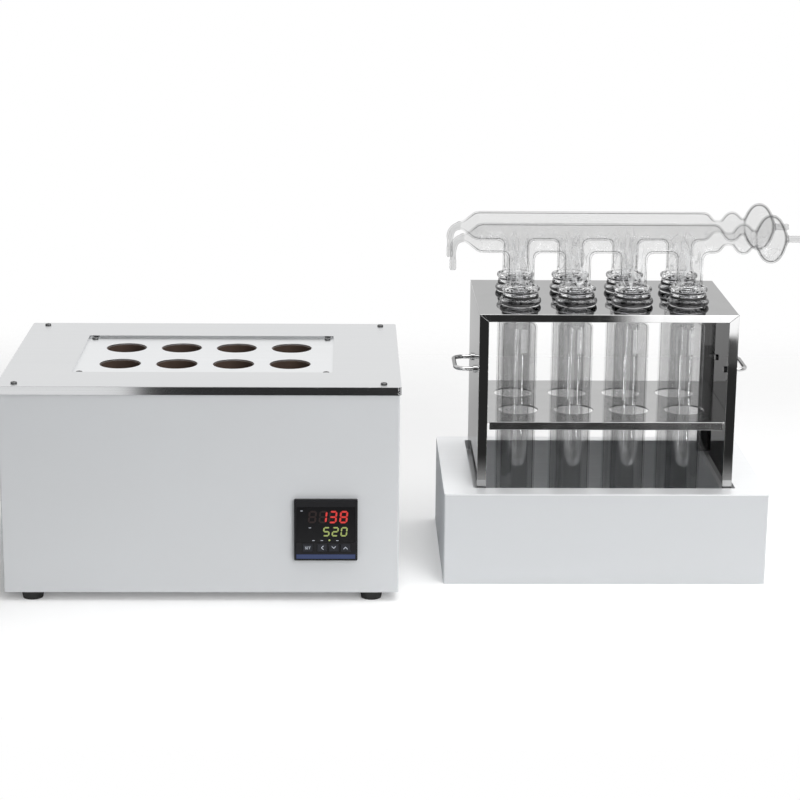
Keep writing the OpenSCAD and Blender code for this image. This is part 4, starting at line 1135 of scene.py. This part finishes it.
SHEETS = [
    ("housing_shell", 0.5, "painted", "furnace", "painted"),
    ("top_cover", 0.35, "cover", "furnace", "cover_steel"),
    ("hole_plate", 0.35, "plate", "furnace", "cover_steel"),
    ("controller_bezel", 0.5, "black", "furnace", "black_plastic"),
    ("controller_display", 0.15, "window", "furnace", "display_glass"),
    ("tray_shell", 0.4, "painted", "tray", "painted"),
    ("tray_basin", 0.35, "basin", "tray", "mirror_steel"),
    ("rack_top_plate", 0.4, "mirror_top", "tube_rack", "mirror_steel"),
    ("rack_left_panel", 0.4, "mirror", "tube_rack", "mirror_steel"),
    ("rack_right_panel", 0.4, "mirror", "tube_rack", "mirror_steel"),
    ("rack_shelf", 0.4, "shelf", "tube_rack", "mirror_steel"),
    ("key_set", 0.25, "key", "key_set", "key_plastic"),
    ("key_shift", 0.25, "key", "key_shift", "key_plastic"),
    ("key_down", 0.25, "key", "key_down", "key_plastic"),
    ("key_up", 0.25, "key", "key_up", "key_plastic"),
]


# Floor, lamps and surroundings

def add_floor():
    """A pale table that keeps the shadow and thins out to nothing at its edges."""
    bm = bmesh.new()
    half_x, front, back = 1.3, -0.62, 1.3
    corners = [(-half_x, front), (half_x, front), (half_x, back), (-half_x, back)]
    bm.faces.new([bm.verts.new((x, y, 0)) for x, y in corners])
    mesh = bpy.data.meshes.new("floor")
    bm.to_mesh(mesh)
    bm.free()
    floor = bpy.data.objects.new("floor", mesh)
    bpy.context.scene.collection.objects.link(floor)
    f = Finish("pale_floor")
    camera = f.node("LightPath", out=0)
    lit = f.node("BsdfDiffuse", {}, {"Color": grey(0.86)})
    lift = f.node("Emission", {}, {"Color": grey(1.0), "Strength": camera * 0.16})
    both = f.node("AddShader", {}, {0: lit, 1: lift})
    east, north, _ = f.parts(f.node("TexCoord", out=3))
    side = 1 - east.maths("ABSOLUTE", east).step(half_x - 0.5, half_x - 0.02)
    near = north.step(front + 0.02, front + 0.3)
    far = 1 - north.step(back - 0.7, back - 0.02)
    share = side * near * far
    shader = f.node("MixShader", {}, {0: share, 1: f.node("BsdfTransparent"), 2: both})
    floor.data.materials.append(f.done(shader))


def add_lamp(name, place, target, size, power, mirrored=True):
    data = bpy.data.lights.new(name, "AREA")
    data.shape = "RECTANGLE"
    data.size, data.size_y = size
    data.energy = power
    lamp = bpy.data.objects.new(name, data)
    lamp.visible_glossy = mirrored
    lamp.location = place
    lamp.rotation_euler = (Vector(target) - Vector(place)).to_track_quat("-Z", "Y").to_euler()
    bpy.context.scene.collection.objects.link(lamp)


def add_surroundings():
    """White to the camera. Mirrors see a studio, white behind and above and dark in front, with two cards.

    East, north and up are the parts of a direction, so each runs from -1 to 1.
    """
    world = bpy.data.worlds.new("studio")
    bpy.context.scene.world = world
    f = Finish("studio", world)
    camera = f.node("LightPath", out=0)
    glossy = f.node("LightPath", out=3)
    through_glass = f.node("LightPath", out=6)
    east, north, up = f.parts(f.node("TexCoord", out=0))
    behind = north.step(-0.35, 0.2)
    above = up.step(0.3, 0.75)
    in_front = 1 - north.step(-0.8, -0.5)
    card_glow = up.step(-0.2225, -0.219) * 1.8 + up.step(-0.235, -0.231) * 0.08 - up.step(0.02, 0.2) * 1.1
    right_card = in_front * east.step(0.118, 0.138) * card_glow
    left_card = in_front * (1 - east.step(-0.125, -0.108)) * up.step(-0.5, -0.4)
    high = up.step(0.46, 0.54) * (1 - up.step(0.8, 0.92))
    window = (1 - north.step(-0.3, -0.1)) * east.step(0.1, 0.13) * high * 2.2
    aside = east / (0.001 - north)
    fall = (-0.2245 - up) / 0.0165
    flame = fall.maths("FRACT", fall) * up.step(-0.292, -0.288) * (1 - up.step(-0.226, -0.2245))
    lamps = 0
    for centre, width in ((-1.03, 0.1), (0.36, 0.05)):
        off = aside - centre
        lamps = lamps + (1 - (off.maths("ABSOLUTE", off) / (flame * width + 0.001)).step(0.6, 1.0))
    lamps = lamps * flame.step(0.02, 0.1) * (1 - north.step(-0.5, -0.3)) * 12
    room = behind.maths("MAXIMUM", behind, above) + 0.04
    room = room + right_card + left_card + window + lamps
    plain = 0.4 + east * 0.34
    shown = camera.maths("MAXIMUM", camera, through_glass)
    strength = shown + (1 - shown) * (glossy * room + (1 - glossy) * plain)
    f.done(f.node("Background", {}, {"Color": grey(1.0), "Strength": strength}), "OutputWorld")
    add_lamp("top_box", (0.5, -0.3, 2.2), (0.0, 0.0, 0.1), (2.4, 1.6), 34)
    add_lamp("front_box", (1.1, -2.4, 1.3), (0.0, 0.0, 0.2), (1.3, 1.6), 31, mirrored=False)


add_camera()
add_surroundings()
add_floor()
for node, finish in NODE_FINISH.items():
    dress(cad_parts[node], finish)
for node, edge, finish, body, slot in SHEETS:
    softened(node, edge * MM, finish, body, slot)
add_screws()
add_tubes()
add_seals()
add_manifolds()
add_controller_face()

scene = bpy.context.scene
scene.view_settings.view_transform = "Standard"
scene.cycles.max_bounces = 32
scene.cycles.transmission_bounces = 32
scene.cycles.transparent_max_bounces = 32
